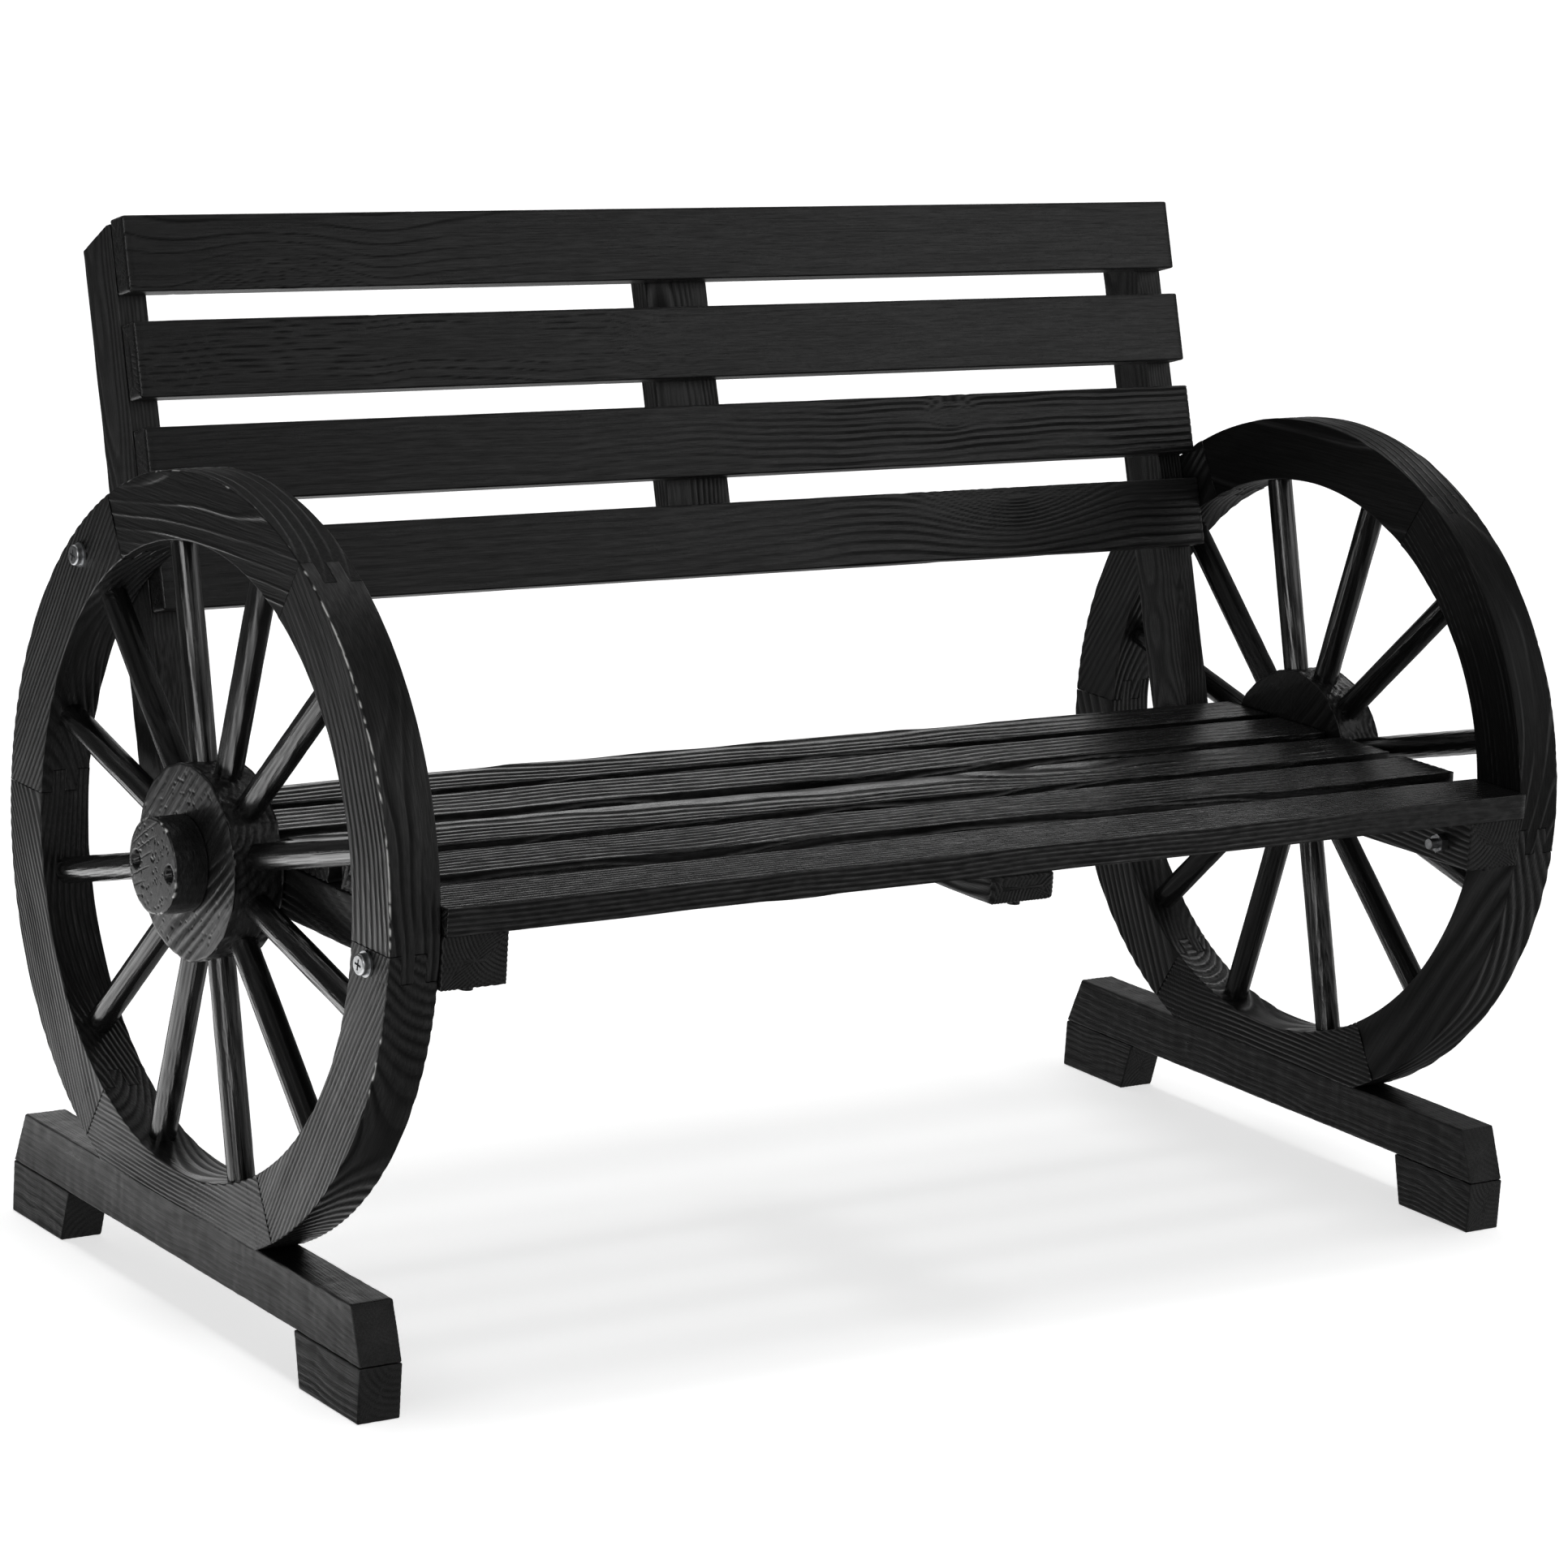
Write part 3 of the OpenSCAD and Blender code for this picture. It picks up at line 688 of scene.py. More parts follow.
def paint(finish: PaintFinish) -> bpy.types.Material:
    """Painted wood: grooves and ridges from the carved rings, fine fibres along them.

    Args:
        finish: its colours and scales.

    Returns:
        The material.
    """
    material, n = new_material(finish.name)
    relief, wear, seam_dark = [n.add("ShaderNodeAttribute", {"attribute_name": word}).outputs["Fac"]
                          for word in ("relief", "wear", "seam_dark")]
    grain = n.add("ShaderNodeAttribute", {"attribute_name": "grain"}).outputs["Vector"]
    across = 1.0 / finish.fibre
    fibre = n.noise(grain, (across, across, across / 30.0), 3.0, 0.6)
    # Clouds about 22 mm across the grain and 170 mm along it
    cloud = n.noise(grain, (45.0, 45.0, 6.0), 4.0, 0.55)
    colour = n.blend(relief, linear(finish.groove), linear(finish.ridge))
    thin = n.math("MULTIPLY", n.span(cloud, 0.5, 0.72, 0.0, 0.55), n.span(fibre, 0.4, 0.65, 0.2, 1.0))
    colour = n.blend(n.math("MULTIPLY", thin, relief), colour, linear(finish.rub))
    colour = n.blend(wear, colour, linear(BARE_WOOD))
    # The paint turns black towards the seams of the finger joints
    colour = n.blend(seam_dark, colour, linear(SEAM))
    rough = n.span(relief, 0.0, 0.8, finish.rough_groove, finish.rough_ridge)
    rough = n.math("ADD", rough, n.span(cloud, 0.3, 0.7, -0.07, 0.07))
    height = n.math("ADD", n.math("MULTIPLY", fibre, finish.bump),
                    n.math("MULTIPLY", relief, finish.bump * 0.6))
    shine = n.math("MULTIPLY", n.span(relief, 0.0, 1.0, 0.4 * finish.sheen, finish.sheen),
                   n.span(fibre, 0.3, 0.7, 0.7, 1.25))
    if finish.ripple:
        # Ripples about 4 mm across the grain and 10 mm along it
        ripples = n.noise(grain, (250.0, 250.0, 100.0), 1.0)
        height = n.math("ADD", height, n.math("MULTIPLY", ripples, finish.ripple))
        shine = n.math("MULTIPLY", shine, n.span(ripples, 0.35, 0.65, 0.7, 1.2))
    n.surface(height, Base_Color=colour, Roughness=rough, Specular_IOR_Level=shine)
    return material


def steel(finish: SteelFinish) -> bpy.types.Material:
    """Steel with a cloudy coat and fine scratches, on object coordinates.

    Args:
        finish: its colours and roughness.

    Returns:
        The material.
    """
    material, n = new_material(finish.name)
    at = n.add("ShaderNodeTexCoord").outputs["Object"]
    # Clouds of 4 mm and scratches 0.2 mm wide
    cloud = n.noise(at, (260.0, 260.0, 260.0), 3.0)
    scratch = n.noise(at, (900.0, 5200.0, 700.0), 2.0)
    colour = n.blend(n.span(cloud, 0.35, 0.7, 0.0, 0.7), linear(finish.colour), linear(finish.rub))
    rough = n.math("ADD", n.span(scratch, 0.3, 0.7, -0.08, 0.12), finish.rough)
    n.surface(n.math("MULTIPLY", scratch, SCRATCH_H), Base_Color=colour, Metallic=1.0, Roughness=rough)
    return material


class Side(Enum):
    """The two sides of the bench, by the sign of X."""

    LEFT = -1
    RIGHT = 1

    @property
    def label(self) -> str:
        """The word that node names begin with."""
        return self.name.lower()


class Workshop:
    """Makes each finish's material once and adds the pieces that wear them."""

    def __init__(self) -> None:
        self.materials = {finish: paint(finish) for finish in (WHEEL, SEAT, BACK, FRAME, SPOKE)}
        self.materials |= {finish: steel(finish) for finish in (STEEL, BLACK_STEEL)}

    def add(self, node: str, shell: Shell, finish: PaintFinish) -> None:
        """Builds a piece that stands for one node of the frame.

        Args:
            node: the node it replaces.
            shell: its surface.
            finish: its paint.
        """
        piece = build_mesh(node + "_wood", shell, self.materials[finish])
        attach(piece, "root")
        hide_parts(node)


@dataclass(frozen=True)
class Disc:
    """A disc sawn from a board, turned to its wheel's side.

    Attributes:
        side: left or right.
        centre: Y and Z of its axis, in mm.
        radius: its outer radius.
        thick: its thickness.
        x: distance of its inner face from the middle of the bench.
        flats: number of flats round its rim.
        uneven: how much the flats' distances differ.
        saw: depth of the saw marks on the rim.
        wood: its growth rings.
        flow: turn of the grain in its face, in degrees.
        dents: (towards the front, up, radius, depth) of holes in the outer face.
        chips: how much paint has chipped off the outer edge.
    """

    side: Side
    centre: tuple[float, float]
    radius: float
    thick: float
    x: float
    flats: int
    uneven: float
    saw: float
    wood: Wood
    flow: float
    dents: Holes = ()
    chips: float = 0.0

    def shell(self) -> Shell:
        """Makes the disc on a polar grid.

        At each angle the radius is the least distance over the flats' lines,
        d / cos(angle - flat's angle). The grid runs from the middle of the outer
        face over the rim to the middle of the inner face.

        Returns:
            The closed surface.
        """
        cy, cz = self.centre
        rng = np.random.default_rng(41 + self.side.value + self.flats)
        count, half = 120 + int(2.1 * self.radius), self.thick / 2.0
        angle = np.arange(count) * 2.0 * math.pi / count
        flats = (np.arange(self.flats) + rng.uniform(-0.3, 0.3, self.flats)) * 2.0 * math.pi / self.flats
        reach = rng.uniform(self.radius - self.uneven, self.radius - self.uneven / 4.0, self.flats)
        turn = np.cos(angle[:, None] - flats[None, :])
        line = np.where(turn > 0.2, reach[None, :] / np.maximum(turn, 0.2), 1e3)
        rim = np.minimum(line.min(axis=1), self.radius)
        face = np.linspace(DISC_EYE, DISC_FACE, int(self.radius / 0.85))
        back = np.linspace(DISC_FACE, DISC_EYE, 16)
        edge = 1.0 - np.array([DISC_LIP, 0.5, 0.0]) / self.radius
        depth = np.linspace(-half + DISC_LIP, half - DISC_LIP, int(self.thick / 1.1))
        scale = np.concatenate([face, edge, np.ones(len(depth)), edge[::-1], back])
        lip = np.array([0.05, 0.4, 1.0])
        across = np.concatenate([np.full(len(face), -half), lip - half, depth, (half - lip)[::-1],
                                 np.full(len(back), half)])
        corner = np.array([(0.1, -1.0), (0.5, -0.85), (0.95, -0.3)])
        out = np.concatenate([np.tile((0.0, -1.0), (len(face), 1)), corner,
                              np.tile((1.0, 0.0), (len(depth), 1)), corner[::-1] * (1.0, -1.0),
                              np.tile((0.0, 1.0), (len(back), 1))])
        rows = len(scale)
        r = scale[:, None] * rim[None, :]
        u, v = r * np.cos(angle), r * np.sin(angle)
        w = np.tile(across[:, None], (1, count))
        flow = math.radians(self.flow)
        plain = np.stack([u, v, w], axis=2).reshape(-1, 3)
        local = np.stack([u * math.cos(flow) + v * math.sin(flow), w,
                          v * math.cos(flow) - u * math.sin(flow)], axis=2).reshape(-1, 3)
        relief = self.wood.ridge(local)
        marks = value_noise(plain, (4.0, 4.0, 2.0), 77)
        pits = smooth(0.8, 0.93, value_noise(plain, (2.2, 2.2, 2.2), 78))
        spots = 0.5 * value_noise(plain, (2.5, 2.5, 2.5), 79) \
            + 0.5 * value_noise(plain, (14.0, 14.0, 9.0), 80)
        rim_way = np.tile(out[:, :1], (1, count)).ravel()
        near = np.hypot(plain[:, 2] + half, np.hypot(plain[:, 0], plain[:, 1]) - np.tile(rim, rows))
        wear, least = np.zeros(len(plain)), 0.95 - 0.6 * self.chips
        if self.chips:
            wear = np.exp(-((near / 1.3) ** 2)) * smooth(least, least + 0.15, spots)
        cut = self.wood.cut * (1.0 - relief) + np.where(rim_way > 0.8, self.saw * marks, 0.1 * marks)
        cut = (cut + 0.5 * pits * (rim_way < 0.1)).reshape(rows, count)
        inwards = out[:, :1] * cut
        u, v, w = u - inwards * np.cos(angle), v - inwards * np.sin(angle), w - out[:, 1:] * cut
        for ahead, up, radius, sink in self.dents:
            off = np.hypot(u - ahead, v - up)
            w = w + smooth(radius + HOLE_RIM, radius - HOLE_RIM, off) * (out[:, 1:] < -0.99) * sink
        world = np.stack([self.side.value * (self.x + half - w), cy - u, cz + v], axis=2).reshape(-1, 3)
        total, last, ring = rows * count, (rows - 1) * count, np.arange(count)
        after = np.roll(ring, -1)
        tris = np.concatenate([np.stack([after, ring, np.full(count, total)], axis=1),
                               np.stack([last + ring, last + after, np.full(count, total + 1)], axis=1)])
        poles = np.stack([world[:count].mean(axis=0), world[last:].mean(axis=0)])
        ends = [0, -1]
        return Shell(np.concatenate([local, local[ends]]), np.concatenate([world, poles]),
                     grid_quads(rows, count), tris,
                     np.concatenate([relief, relief[ends]]), np.concatenate([wear, wear[ends]]),
                     np.zeros(total + 2))


# The rings of each wheel's felloes, from the front joint upwards, and how far their edges have chipped
WHEEL_WOODS = {
    Side.LEFT: (
        Wood((-92.0, -50.0), (-0.02, 0.25), 4.4, 0.4, 3.2, fade=1.0, seed=201, ripple=0.35,
             calm=(-60.0, 70.0), follow=0.6),
        Wood((16.0, -52.0), (0.02, 0.06), 7.5, 0.5, 3.0, profile=Profile.LINED, fade=0.7, seed=202),
        Wood((-70.0, -30.0), (0.0, 0.05), 4.4, 0.6, 2.0, profile=Profile.SOFT, seed=203),
        Wood((-60.0, -40.0), (0.0, 0.05), 4.0, 0.5, 2.0, profile=Profile.SOFT, seed=204),
        Wood((-80.0, -20.0), (0.0, 0.03), 3.6, 0.6, 1.6, seed=205),
        Wood((-90.0, 16.0), (0.0, 0.04), 2.9, 0.7, 1.6, seed=206, ripple=0.25),
    ),
    Side.RIGHT: (
        Wood((-80.0, -30.0), (0.0, 0.05), 4.2, 0.4, 2.0, profile=Profile.LINED, fade=0.9, seed=211,
             ripple=0.3, follow=0.7),
        Wood((-12.0, -90.0), (0.0, 0.0), 7.0, 0.7, 1.0, profile=Profile.LINED, fade=0.6, seed=212),
        Wood((-60.0, -30.0), (0.0, 0.05), 4.0, 0.6, 2.0, profile=Profile.SOFT, seed=213),
        Wood((-60.0, -30.0), (0.0, 0.05), 4.0, 0.6, 2.0, profile=Profile.SOFT, seed=214),
        Wood((-80.0, 10.0), (0.0, 0.03), 3.8, 0.8, 2.0, seed=215),
        Wood((-50.0, -70.0), (0.03, 0.06), 5.6, 0.8, 2.5, profile=Profile.SOFT, seed=216),
    ),
}
WHEEL_CHIPS = {Side.LEFT: (0.84, 0.5, 0.3, 0.3, 0.3, 0.45), Side.RIGHT: (0.7, 0.45, 0.3, 0.3, 0.3, 0.4)}


@dataclass
class Wheel:
    """One wheel: six felloes with finger joints, twelve spokes and a hub."""

    side: Side
    shop: Workshop
    woods: Sequence[Wood]
    chips: Sequence[float]

    def centre(self) -> tuple[float, float]:
        """Y and Z of the wheel's axis in mm, from the hub's node."""
        low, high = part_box(self.side.label + "_hub")
        return (low[1] + high[1]) / 2.0 / MM, (low[2] + high[2]) / 2.0 / MM

    def felloe(self, k: int) -> Shell:
        """Felloe k, from its joint at k * 60 degrees, with its stepped fingers.

        Across is radial, deep is along X and grows inwards, and along is the arc
        at the middle of the rim. The rings follow the felloe's chord,
        or its curve as far as its wood says.
        """
        cy, cz = self.centre()
        sign, middle_r = self.side.value, WHEEL_R - RIM_W / 2.0
        turn, finger = 2.0 * math.pi / FELLOES, FINGER_L / WHEEL_R
        middle, first = (k + 0.5) * turn, 0 if self.side is Side.LEFT else 1

        def shift(deep: Array) -> Array:
            band = np.clip(np.floor((RIM_T / 2.0 - deep) / (RIM_T / BANDS)), 0, BANDS - 1)
            return np.where(band % 2 == first, -finger, 0.0)

        def low(a: Array, d: Array) -> Array:
            return (shift(d) - turn / 2.0) * middle_r + JOINT_GAP

        def high(a: Array, d: Array) -> Array:
            return (shift(d) + turn / 2.0) * middle_r - JOINT_GAP

        def place(p: Array) -> Array:
            r, angle = middle_r + p[:, 0], middle + p[:, 2] / middle_r
            z = np.maximum(cz + r * np.sin(angle), BASE_TOP)
            return np.stack([sign * (RIM_INNER_X + RIM_T / 2.0 - p[:, 1]), cy - r * np.cos(angle), z], axis=1)

        def grain(p: Array) -> Array:
            r, angle = middle_r + p[:, 0], p[:, 2] / middle_r
            chord = np.stack([r * np.cos(angle) - middle_r, p[:, 1], r * np.sin(angle)], axis=1)
            return chord + (p - chord) * self.woods[k].follow

        # The photograph shows the left wheel's outer faces and the right wheel's inner faces
        inner, outer, step = (1.8, 0.8, 2.0) if self.side is Side.LEFT else (0.9, 1.8, 2.7)
        section = Section.rectangle(RIM_W, RIM_T, 1.2, inner, outer, 0.7, breaks=(-10.0, 0.0, 10.0))
        return Board(section, low, high, place, self.woods[k], step, grain, edge=0.6, chips=self.chips[k],
                     stepped=True).shell()

    def spokes(self) -> Shell:
        """Twelve turned rods, a little uneven, from inside the hub to inside the rim."""
        cy, cz = self.centre()
        shells = []
        for i in range(SPOKES):
            angle = (i + 0.5) * 2.0 * math.pi / SPOKES
            way = np.array([0.0, -math.cos(angle), math.sin(angle)])
            middle = np.array([self.side.value * (RIM_INNER_X + RIM_T / 2.0), cy, cz]) \
                + way * (SPOKE_FROM + SPOKE_TO) / 2.0
            half = (SPOKE_TO - SPOKE_FROM) / 2.0
            wood = Wood(pith=(3.0, 30.0), drift=(0.01, 0.04), ring=2.6, cut=0.25, wander=2.0,
                        seed=300 + 20 * (self.side.value + 1) + i)
            place = straight(middle, ACROSS, np.cross(way, ACROSS), way)
            shells.append(Board(Section.circle(SPOKE_D, 40), flat(-half), flat(half), place, wood).shell())
        return Shell.joined(shells)

    def hub(self) -> Shell:
        """The hub: a disc whose rim was band-sawn into uneven flats."""
        wood = Wood((18.0, -36.0), (0.05, 0.1), 6.0, 0.5, 3.0, fade=1.0,
                    seed=52 + self.side.value, calm=(15.0, -25.0), calm_axis=0)
        return Disc(self.side, self.centre(), HUB_R, HUB_T, HUB_X, 26, 2.6, 1.4, wood, -40.0).shell()

    def cap(self) -> Shell:
        """The hub's cap, with the two holes that sink its screws."""
        wood = Wood((8.0, 30.0), (0.4, 0.3), 5.0, 0.06, 3.0, profile=Profile.GROOVED, fade=1.0,
                    seed=62 + self.side.value)
        dents = tuple((way * CAP_SCREW, 0.0, CAP_SINK_R, CAP_SINK) for way in (-1.0, 1.0))
        return Disc(self.side, self.centre(), CAP_R, CAP_T, HUB_X + HUB_T, 40, 0.35, 0.5, wood, -20.0, dents,
                    0.7).shell()

    def build(self) -> None:
        """Adds the wheel's pieces."""
        label = self.side.label
        for k in range(FELLOES):
            self.shop.add(f"{label}_felloe_{k + 1}", self.felloe(k), WHEEL)
        self.shop.add(f"{label}_spokes", self.spokes(), SPOKE)
        self.shop.add(f"{label}_hub", self.hub(), WHEEL)
        self.shop.add(f"{label}_hub_cap", self.cap(), WHEEL)


def box_board(node: str, along: int, face: int, sign: float, wood: Wood, radius: float = 1.5,
              step: float = 6.0, fine: float = 0.4, coarse: float = 2.5, side: float = 0.6,
              low: Ends | None = None, high: Ends | None = None, dents: Holes = ()) -> Shell:
    """A board that fills a node's box.

    Args:
        node: the node.
        along: the axis of the grain, 0 for X, 1 for Y, 2 for Z.
        face: the axis that the fine face looks along.
        sign: 1 or -1 for the fine face's direction.
        wood: its rings.
        radius: radius of the long edges.
        step: spacing along.
        fine: spacing on the face.
        coarse: spacing on the back.
        side: spacing on the sides.
        low: the lower end, if it isn't square.
        high: the upper end, if it isn't square.
        dents: holes sunk into the back.

    Returns:
        The surface.
    """
    least, most = (np.array(v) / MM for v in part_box(node))
    middle, size = (least + most) / 2.0, most - least
    other = 3 - along - face
    axes = np.eye(3)
    section = Section.rectangle(size[other], size[face], radius, fine, coarse, side)
    place = straight(middle, axes[other], axes[face] * sign, axes[along])
    half = size[along] / 2.0
    return Board(section, low or flat(-half), high or flat(half), place, wood, step,
                 edge=max(1.0, 0.8 * radius), dents=dents).shell()


@dataclass
class Seat:
    """Five seat slats on their three bearers."""

    shop: Workshop

    def build(self) -> None:
        """Adds the slats and the bearers."""
        brushed = dict(ripple=0.25, calm=(150.0, 420.0))
        woods = [
            Wood((-72.0, -58.0), (0.002, 0.004), 3.7, 0.9, 1.4, fade=0.2, seed=11, **brushed),
            Wood((-62.0, -34.0), (0.01, -0.01), 5.8, 1.2, 3.0, fade=0.2, seed=12, **brushed),
            Wood((30.0, -34.0), (-0.03, 0.02), 6.2, 1.2, 3.2, fade=0.25, seed=13, **brushed),
            Wood((-70.0, -34.0), (0.01, 0.01), 6.4, 1.2, 3.2, fade=0.2, seed=14, **brushed),
            Wood((48.0, -34.0), (-0.008, 0.014), 6.6, 1.2, 3.0, fade=0.2, seed=15, **brushed),
        ]
        for i, wood in enumerate(woods):
            node = f"seat_slat_{i + 1}"
            board = box_board(node, 0, 2, 1.0, wood, radius=1.0, fine=0.5, coarse=3.0, side=1.0)
            self.shop.add(node, board, SEAT)
        for side in Side:
            node = side.label + "_seat_bearer"
            wood = Wood(pith=(30.0, 42.0), drift=(0.01, 0.03), ring=3.4, seed=31 + side.value)
            board = box_board(node, 1, 0, -side.value, wood, fine=0.9, coarse=1.2, side=0.9)
            self.shop.add(node, board, FRAME)
        wood = Wood(pith=(44.0, 30.0), drift=(0.0, 0.01), ring=2.4, seed=35)
        board = box_board("centre_seat_bearer", 1, 2, -1.0, wood, radius=4.0, fine=0.8, coarse=2.0, side=0.8)
        self.shop.add("centre_seat_bearer", board, FRAME)


@dataclass
class Back:
    """Four leaning back slats on two posts and a batten."""

    shop: Workshop

    def rise(self, i: int) -> float:
        """How far up the back the middle of slat i + 1 is."""
        return BACK_TOP - BACK_SLAT_W / 2.0 - i * BACK_PITCH

    def leaning(self, x: float, depth: float, rise: float) -> Array:
        """The place in the frame of a point at x, behind the slats' front by depth and up the back."""
        return np.array([x, BACK_Y + depth * math.cos(RECLINE) + rise * math.sin(RECLINE),
                         SEAT_Z - depth * math.sin(RECLINE) + rise * math.cos(RECLINE)])

    def build(self) -> None:
        """Adds the slats, the posts and the batten."""
        grooved, worn = Profile.GROOVED, Profile.WORN
        woods = [
            Wood((50.0, -46.0), (0.004, 0.01), 5.0, 0.4, 2.6, ((-44.0, -366.0, 20.0),), grooved,
                 fade=0.9, seed=61, calm=(-330.0, -100.0)),
            Wood((-54.0, -30.0), (0.012, -0.015), 5.0, 0.45, 3.0, ((-23.0, -23.0, 6.0),), grooved,
                 fade=0.9, seed=62, calm=(-220.0, 60.0)),
            Wood((-58.0, -24.0), (-0.006, 0.02), 5.2, 0.5, 2.6, ((16.0, 238.0, 7.0),), worn,
                 fade=0.8, seed=63, calm=(260.0, -120.0)),
            Wood((-60.0, -30.0), (0.004, 0.03), 6.0, 0.6, 2.0, ((50.0, 296.0, 28.0),), worn,
                 fade=0.5, seed=64, calm=(250.0, 40.0)),
        ]
        low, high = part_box("back_slat_1")
        half = (high[0] - low[0]) / 2.0 / MM
        for i, wood in enumerate(woods):
            section = Section.rectangle(BACK_SLAT_W, BACK_T, 1.6, 0.9 if i < 2 else 0.7, 2.8, 1.2)
            place = straight(self.leaning(0.0, BACK_T / 2.0, self.rise(i)), BACK_UP, BACK_OUT, ACROSS)
            board = Board(section, flat(-half), flat(half), place, wood, 4.6, edge=2.4).shell()
            self.shop.add(f"back_slat_{i + 1}", board, BACK)
        for side in Side:
            self.shop.add(side.label + "_back_post", self.post(side), FRAME)
        first = BACK_TOP - 3.0 * BACK_PITCH - BACK_SLAT_W + BATTEN_IN
        last = BACK_TOP - BATTEN_IN
        section = Section.rectangle(BATTEN_W, BATTEN_T, 1.5, 0.9, 1.4, 1.0)
        place = straight(self.leaning(0.0, BACK_T + BATTEN_T / 2.0, (first + last) / 2.0),
                         ACROSS, BACK_OUT, BACK_UP)
        half = (last - first) / 2.0
        wood = Wood(pith=(-20.0, 34.0), drift=(0.01, 0.02), ring=3.4, cut=0.3, fade=1.0, seed=71)
        self.shop.add("back_batten", Board(section, flat(-half), flat(half), place, wood, 4.0).shell(), FRAME)

    def post(self, side: Side) -> Shell:
        """A post: its foot cut level on the bearer, its top falling to the rear."""
        tan, cos = math.tan(RECLINE), math.cos(RECLINE)
        middle = BACK_T + POST_D / 2.0
        top = BACK_TOP - POST_LOW

        def low(a: Array, d: Array) -> Array:
            return (middle - d) * tan - SEAT_T / cos

        def high(a: Array, d: Array) -> Array:
            return top - POST_FALL * np.clip((POST_D / 2.0 - d - POST_FLAT) / (POST_D - POST_FLAT), 0.0, 1.0)

        section = Section.rectangle(POST_W, POST_D, 0.7, 0.9, 1.0, 1.0)
        x = side.value * (RIM_INNER_X - POST_W / 2.0)
        place = straight(self.leaning(x, middle, 0.0), ACROSS, BACK_OUT, BACK_UP)
        wood = Wood(pith=(26.0, -8.0), drift=(0.01, 0.01), ring=2.6,
                    knots=((4.0, 90.0, 6.0),), seed=81 + side.value, sawn=0.4)
        dents = tuple((0.0, self.rise(i), HEAD_SINK_R, POST_SINK) for i in range(4))
        return Board(section, low, high, place, wood, 5.0, dents=dents).shell()


@dataclass
class Base:
    """A beam and two foot blocks under each wheel."""

    shop: Workshop

    def sinks(self, reach: float) -> Holes:
        """Holes for two screws, reach from the middle each way."""
        return tuple((0.0, way * reach, HEAD_SINK_R, BASE_SINK) for way in (-1.0, 1.0))

    def build(self) -> None:
        """Adds the beams and the feet."""
        bevel, slant, inner = BEAM_BEVEL / (BASE_TOP - FOOT_H), FOOT_SLANT / FOOT_H, FOOT_L / 2.0

        def beam_end(a: Array, d: Array) -> Array:
            return BEAM_L / 2.0 - bevel * (d + (BASE_TOP - FOOT_H) / 2.0)

        def inner_end(a: Array, d: Array) -> Array:
            return inner - slant * (FOOT_H / 2.0 - d)

        for side in Side:
            node = side.label + "_base_beam"
            wood = Wood(pith=(24.0, 30.0), ring=3.4, drift=(0.01, 0.02), cut=0.9, seed=91 + side.value,
                        sawn=0.8)
            board = box_board(node, 1, 2, 1.0, wood, radius=1.6, fine=1.2, coarse=1.5, side=1.0, step=3.6,
                              low=lambda a, d: -beam_end(a, d), high=beam_end,
                              dents=self.sinks(BEAM_SCREWS))
            self.shop.add(node, board, FRAME)
            for way, word in ((-1, "front"), (1, "rear")):
                node = f"{side.label}_{word}_foot"
                wood = Wood(pith=(16.0, -26.0 * way), drift=(0.02, 0.03), ring=3.8, cut=0.35, wander=2.5,
                            knots=((-4.0, 14.0, 5.0),), seed=101 + 4 * way + side.value, sawn=0.55)
                low = flat(-inner) if way < 0 else lambda a, d: -inner_end(a, d)
                high = inner_end if way < 0 else flat(inner)
                board = box_board(node, 1, 2, 1.0, wood, radius=1.4, fine=1.3, coarse=1.2, side=0.8,
                                  step=2.9, low=low, high=high, dents=self.sinks(FOOT_SCREWS))
                self.shop.add(node, board, FRAME)

STEEL_NODES = ("hub_cap_screws", "foot_screws", "beam_screws", "end_seat_screws", "centre_seat_screws",
               "post_screws", "batten_screws", "post_foot_screws", "front_rim_bolts", "rear_rim_bolts",
               "rim_washers", "rim_nuts")


def dress_nodes(frame: dict, shop: Workshop) -> None:
    """Gives the nodes that stay their finishes."""
    for name in STEEL_NODES:
        for slot in frame["nodes"][name].material_slots:
            slot.material = shop.materials[BLACK_STEEL if name.endswith("screws") else STEEL]


@dataclass(frozen=True)
class Glow:
    """A soft patch of far light, which the camera itself doesn't see.

    Attributes:
        way: the direction of its middle.
        start: cosine of the angle at which it fades out.
        full: cosine of the angle within which it is full.
        strength: its radiance.
    """

    way: tuple[float, float, float]
    start: float
    full: float
    strength: float


@dataclass(frozen=True)
class SoftBox:
    """A soft box, which only reflections show.

    Attributes:
        name: its name.
        at: its place.
        target: what it is turned to.
        size: its width and height.
        radiance: how bright its face is.
    """

    name: str
    at: tuple[float, float, float]
    target: tuple[float, float, float]
    size: tuple[float, float]
    radiance: float

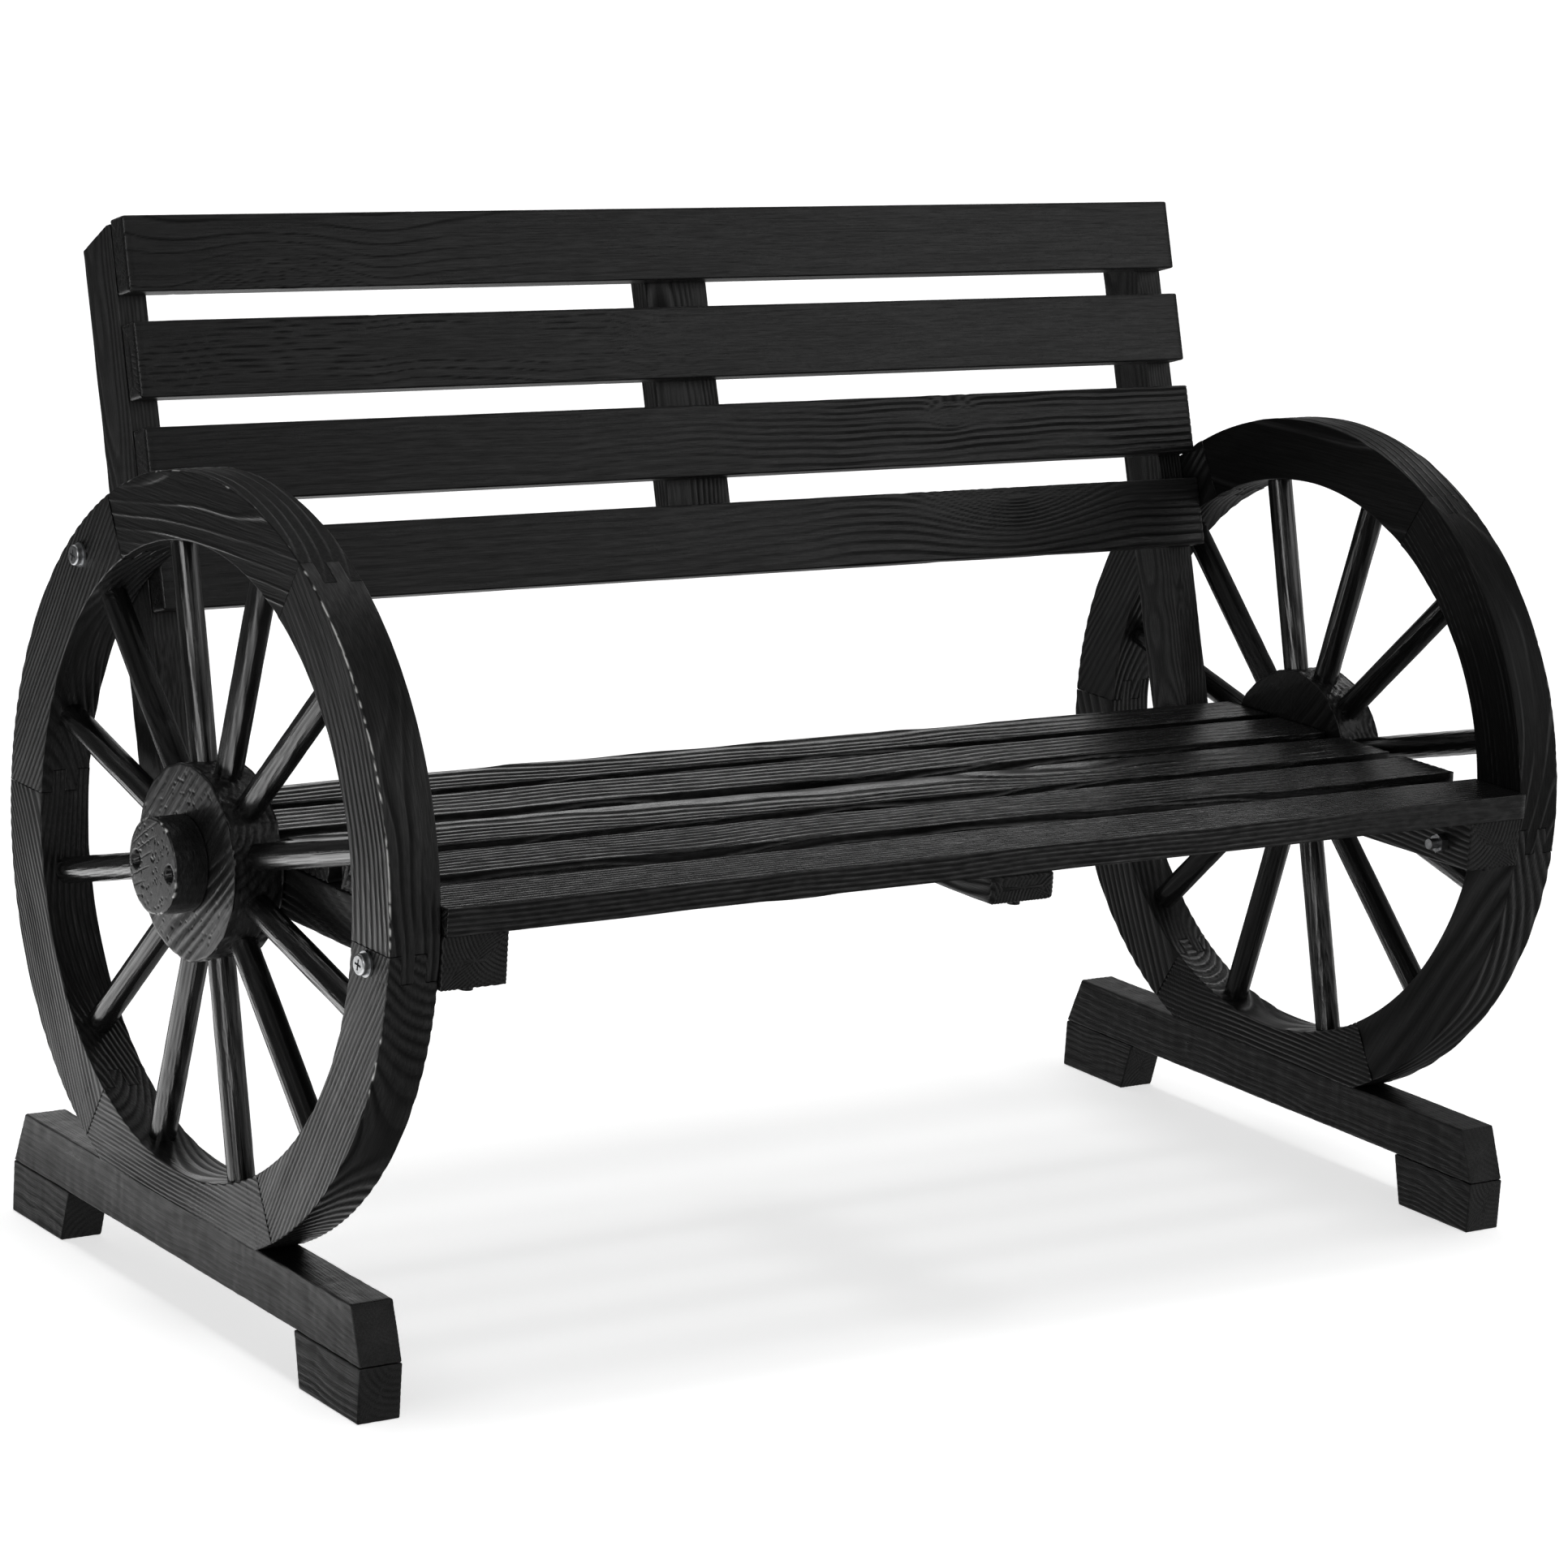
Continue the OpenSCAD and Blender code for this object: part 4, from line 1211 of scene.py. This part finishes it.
GLOWS = (
    # Behind at the right: the gloss along the seat
    Glow((0.46, 0.86, 0.23), 0.964, 0.992, 1.22),
    # Low in front at the right: the faces that look forwards
    Glow((0.5, -0.84, -0.18), 0.78, 0.97, 0.45),
    # Low behind at the left: the left wheel's outer face
    Glow((-0.79, 0.6, -0.12), 0.9, 0.985, 0.18),
    # Below the rear: the back, seen from behind
    Glow((0.05, 0.7, -0.71), 0.78, 0.97, 1.3),
    # Right: the right wheel's outer face
    Glow((0.98, 0.0, -0.2), 0.84, 0.98, 0.8),
    # In front: the back slats, seen from the front
    Glow((0.0, -0.92, 0.39), 0.9, 0.985, 0.9),
)
SOFT_BOXES = (
    SoftBox("front_right_box", (1.9, -1.75, 1.6), (0.1, 0.2, 0.6), (1.7, 1.5), 1.1),
    SoftBox("rear_box", (-0.5, 2.7, 2.2), (0.0, 0.1, 0.5), (2.2, 1.2), 1.4),
    SoftBox("overhead_box", (0.0, 0.8, 3.2), (0.0, 0.1, 0.4), (2.2, 2.4), 0.9),
    SoftBox("back_left_card", (-1.0, 0.25, 0.005), (-1.0, 0.25, 1.0), (0.75, 1.7), 2.3),
    SoftBox("left_box", (-2.8, -1.5, 1.3), (-0.3, 0.0, 0.5), (1.6, 1.9), 3.6),
    SoftBox("top_strip", (2.2, 0.9, 2.3), (0.5, 0.0, 0.5), (0.4, 2.0), 3.2),
)
# The suns: name, direction of the light and strength
SUNS = (("overhead", (0.0, 0.0, -1.0), 1.2), ("edge_kicker", (0.8, 0.6, 0.04), 0.8))
SUN_ANGLE = math.radians(20.0)
# Radiance of the studio between the glows, and of the floor, which is 60 m wide
AMBIENT, FLOOR_GLOW, FLOOR_HALF = 0.1, 0.74, 30.0
# The photograph's camera: place in metres, turns in radians, focal length and sensor width in mm
CAMERA_AT = (-2.1847, -2.9945, 1.1815)
CAMERA_YAW, CAMERA_PITCH, CAMERA_ROLL = 0.6263, 0.2215, 0.0637
CAMERA_LENS, SENSOR_W = 114.67, 36.0


def add_camera() -> None:
    """The camera of the photograph: a long lens at the left front, a little above the seat."""
    yaw, pitch, roll = CAMERA_YAW, CAMERA_PITCH, CAMERA_ROLL
    right = Vector((math.cos(yaw), -math.sin(yaw), 0.0))
    ahead = Vector((math.sin(yaw) * math.cos(pitch), math.cos(yaw) * math.cos(pitch), -math.sin(pitch)))
    top = right.cross(ahead)
    x = right * math.cos(roll) + top * math.sin(roll)
    y = top * math.cos(roll) - right * math.sin(roll)
    data = bpy.data.cameras.new("camera")
    data.lens, data.sensor_width = CAMERA_LENS, SENSOR_W
    camera = bpy.data.objects.new("camera", data)
    camera.matrix_world = Matrix.Translation(CAMERA_AT) @ Matrix((x, y, -ahead)).transposed().to_4x4()
    bpy.context.scene.collection.objects.link(camera)
    bpy.context.scene.camera = camera


def add_world() -> None:
    """A backdrop that the camera sees white, and that is dim with glows to everything else."""
    scene = bpy.context.scene
    scene.view_settings.view_transform = "Standard"
    world = bpy.data.worlds.new("studio")
    scene.world = world
    world.use_nodes = True
    n = Nodes(world.node_tree)
    way = n.add("ShaderNodeTexCoord").outputs["Generated"]
    radiance = AMBIENT
    for glow in GLOWS:
        toward = n.add("ShaderNodeVectorMath", {"operation": "DOT_PRODUCT"}, i0=way, i1=glow.way)
        patch = n.span(toward.outputs["Value"], glow.start, glow.full, 0.0, glow.strength)
        radiance = n.math("MAXIMUM", radiance, patch)
    white = (1.0, 1.0, 1.0, 1.0)
    dim = n.add("ShaderNodeBackground", None, Color=white, Strength=radiance)
    bright = n.add("ShaderNodeBackground", None, Color=white, Strength=1.0)
    seen = n.add("ShaderNodeLightPath").outputs["Is Camera Ray"]
    mixed = n.add("ShaderNodeMixShader", None, i0=seen, i1=dim.outputs[0], i2=bright.outputs[0])
    n.add("ShaderNodeOutputWorld", None, Surface=mixed.outputs[0])


def add_lamp(name: str, data: bpy.types.Light, at: Sequence[float], aim: Sequence[float]) -> bpy.types.Object:
    """Places a lamp so that it shines along aim."""
    lamp = bpy.data.objects.new(name, data)
    lamp.matrix_world = Matrix.Translation(at) @ Vector(aim).to_track_quat("-Z", "Y").to_matrix().to_4x4()
    bpy.context.scene.collection.objects.link(lamp)
    return lamp


def add_lights() -> None:
    """The suns, which reflections don't show, and the soft boxes, which only reflections show."""
    for name, way, energy in SUNS:
        data = bpy.data.lights.new(name, "SUN")
        data.energy, data.angle = energy, SUN_ANGLE
        add_lamp(name, data, (0.0, 0.0, 0.0), way).visible_glossy = False
    for box in SOFT_BOXES:
        data = bpy.data.lights.new(box.name, "AREA")
        data.shape, data.size, data.size_y = "RECTANGLE", box.size[0], box.size[1]
        data.energy = box.radiance * math.pi * box.size[0] * box.size[1]
        lamp = add_lamp(box.name, data, box.at, Vector(box.target) - Vector(box.at))
        lamp.visible_camera = lamp.visible_diffuse = False


def add_floor() -> None:
    """A pale floor that glows a little, so that the bench's shadow stays light."""
    mesh = bpy.data.meshes.new("floor")
    corners = [(x * FLOOR_HALF, y * FLOOR_HALF, 0.0) for x, y in ((-1, -1), (1, -1), (1, 1), (-1, 1))]
    mesh.from_pydata(corners, [], [(0, 1, 2, 3)])
    floor = bpy.data.objects.new("floor", mesh)
    floor.visible_glossy = floor.visible_shadow = False
    bpy.context.scene.collection.objects.link(floor)
    material, n = new_material("pale_studio_floor")
    at = n.add("ShaderNodeTexCoord").outputs["Object"]
    colour = n.blend(n.noise(at, (3.0, 3.0, 3.0), 2.0), linear("#f6f6f6"), linear("#f2f2f2"))
    n.surface(Base_Color=colour, Roughness=0.9, Specular_IOR_Level=0.1, Emission_Color=colour,
              Emission_Strength=FLOOR_GLOW)
    mesh.materials.append(material)


def main() -> None:
    """Builds the looks of the bench on its frame."""
    logging.basicConfig(level=logging.INFO, format="%(message)s")
    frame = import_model()
    shop = Workshop()
    for side in Side:
        Wheel(side, shop, WHEEL_WOODS[side], WHEEL_CHIPS[side]).build()
    Seat(shop).build()
    Back(shop).build()
    Base(shop).build()
    dress_nodes(frame, shop)
    add_camera()
    add_world()
    add_lights()
    add_floor()


if __name__ == "__main__":
    main()
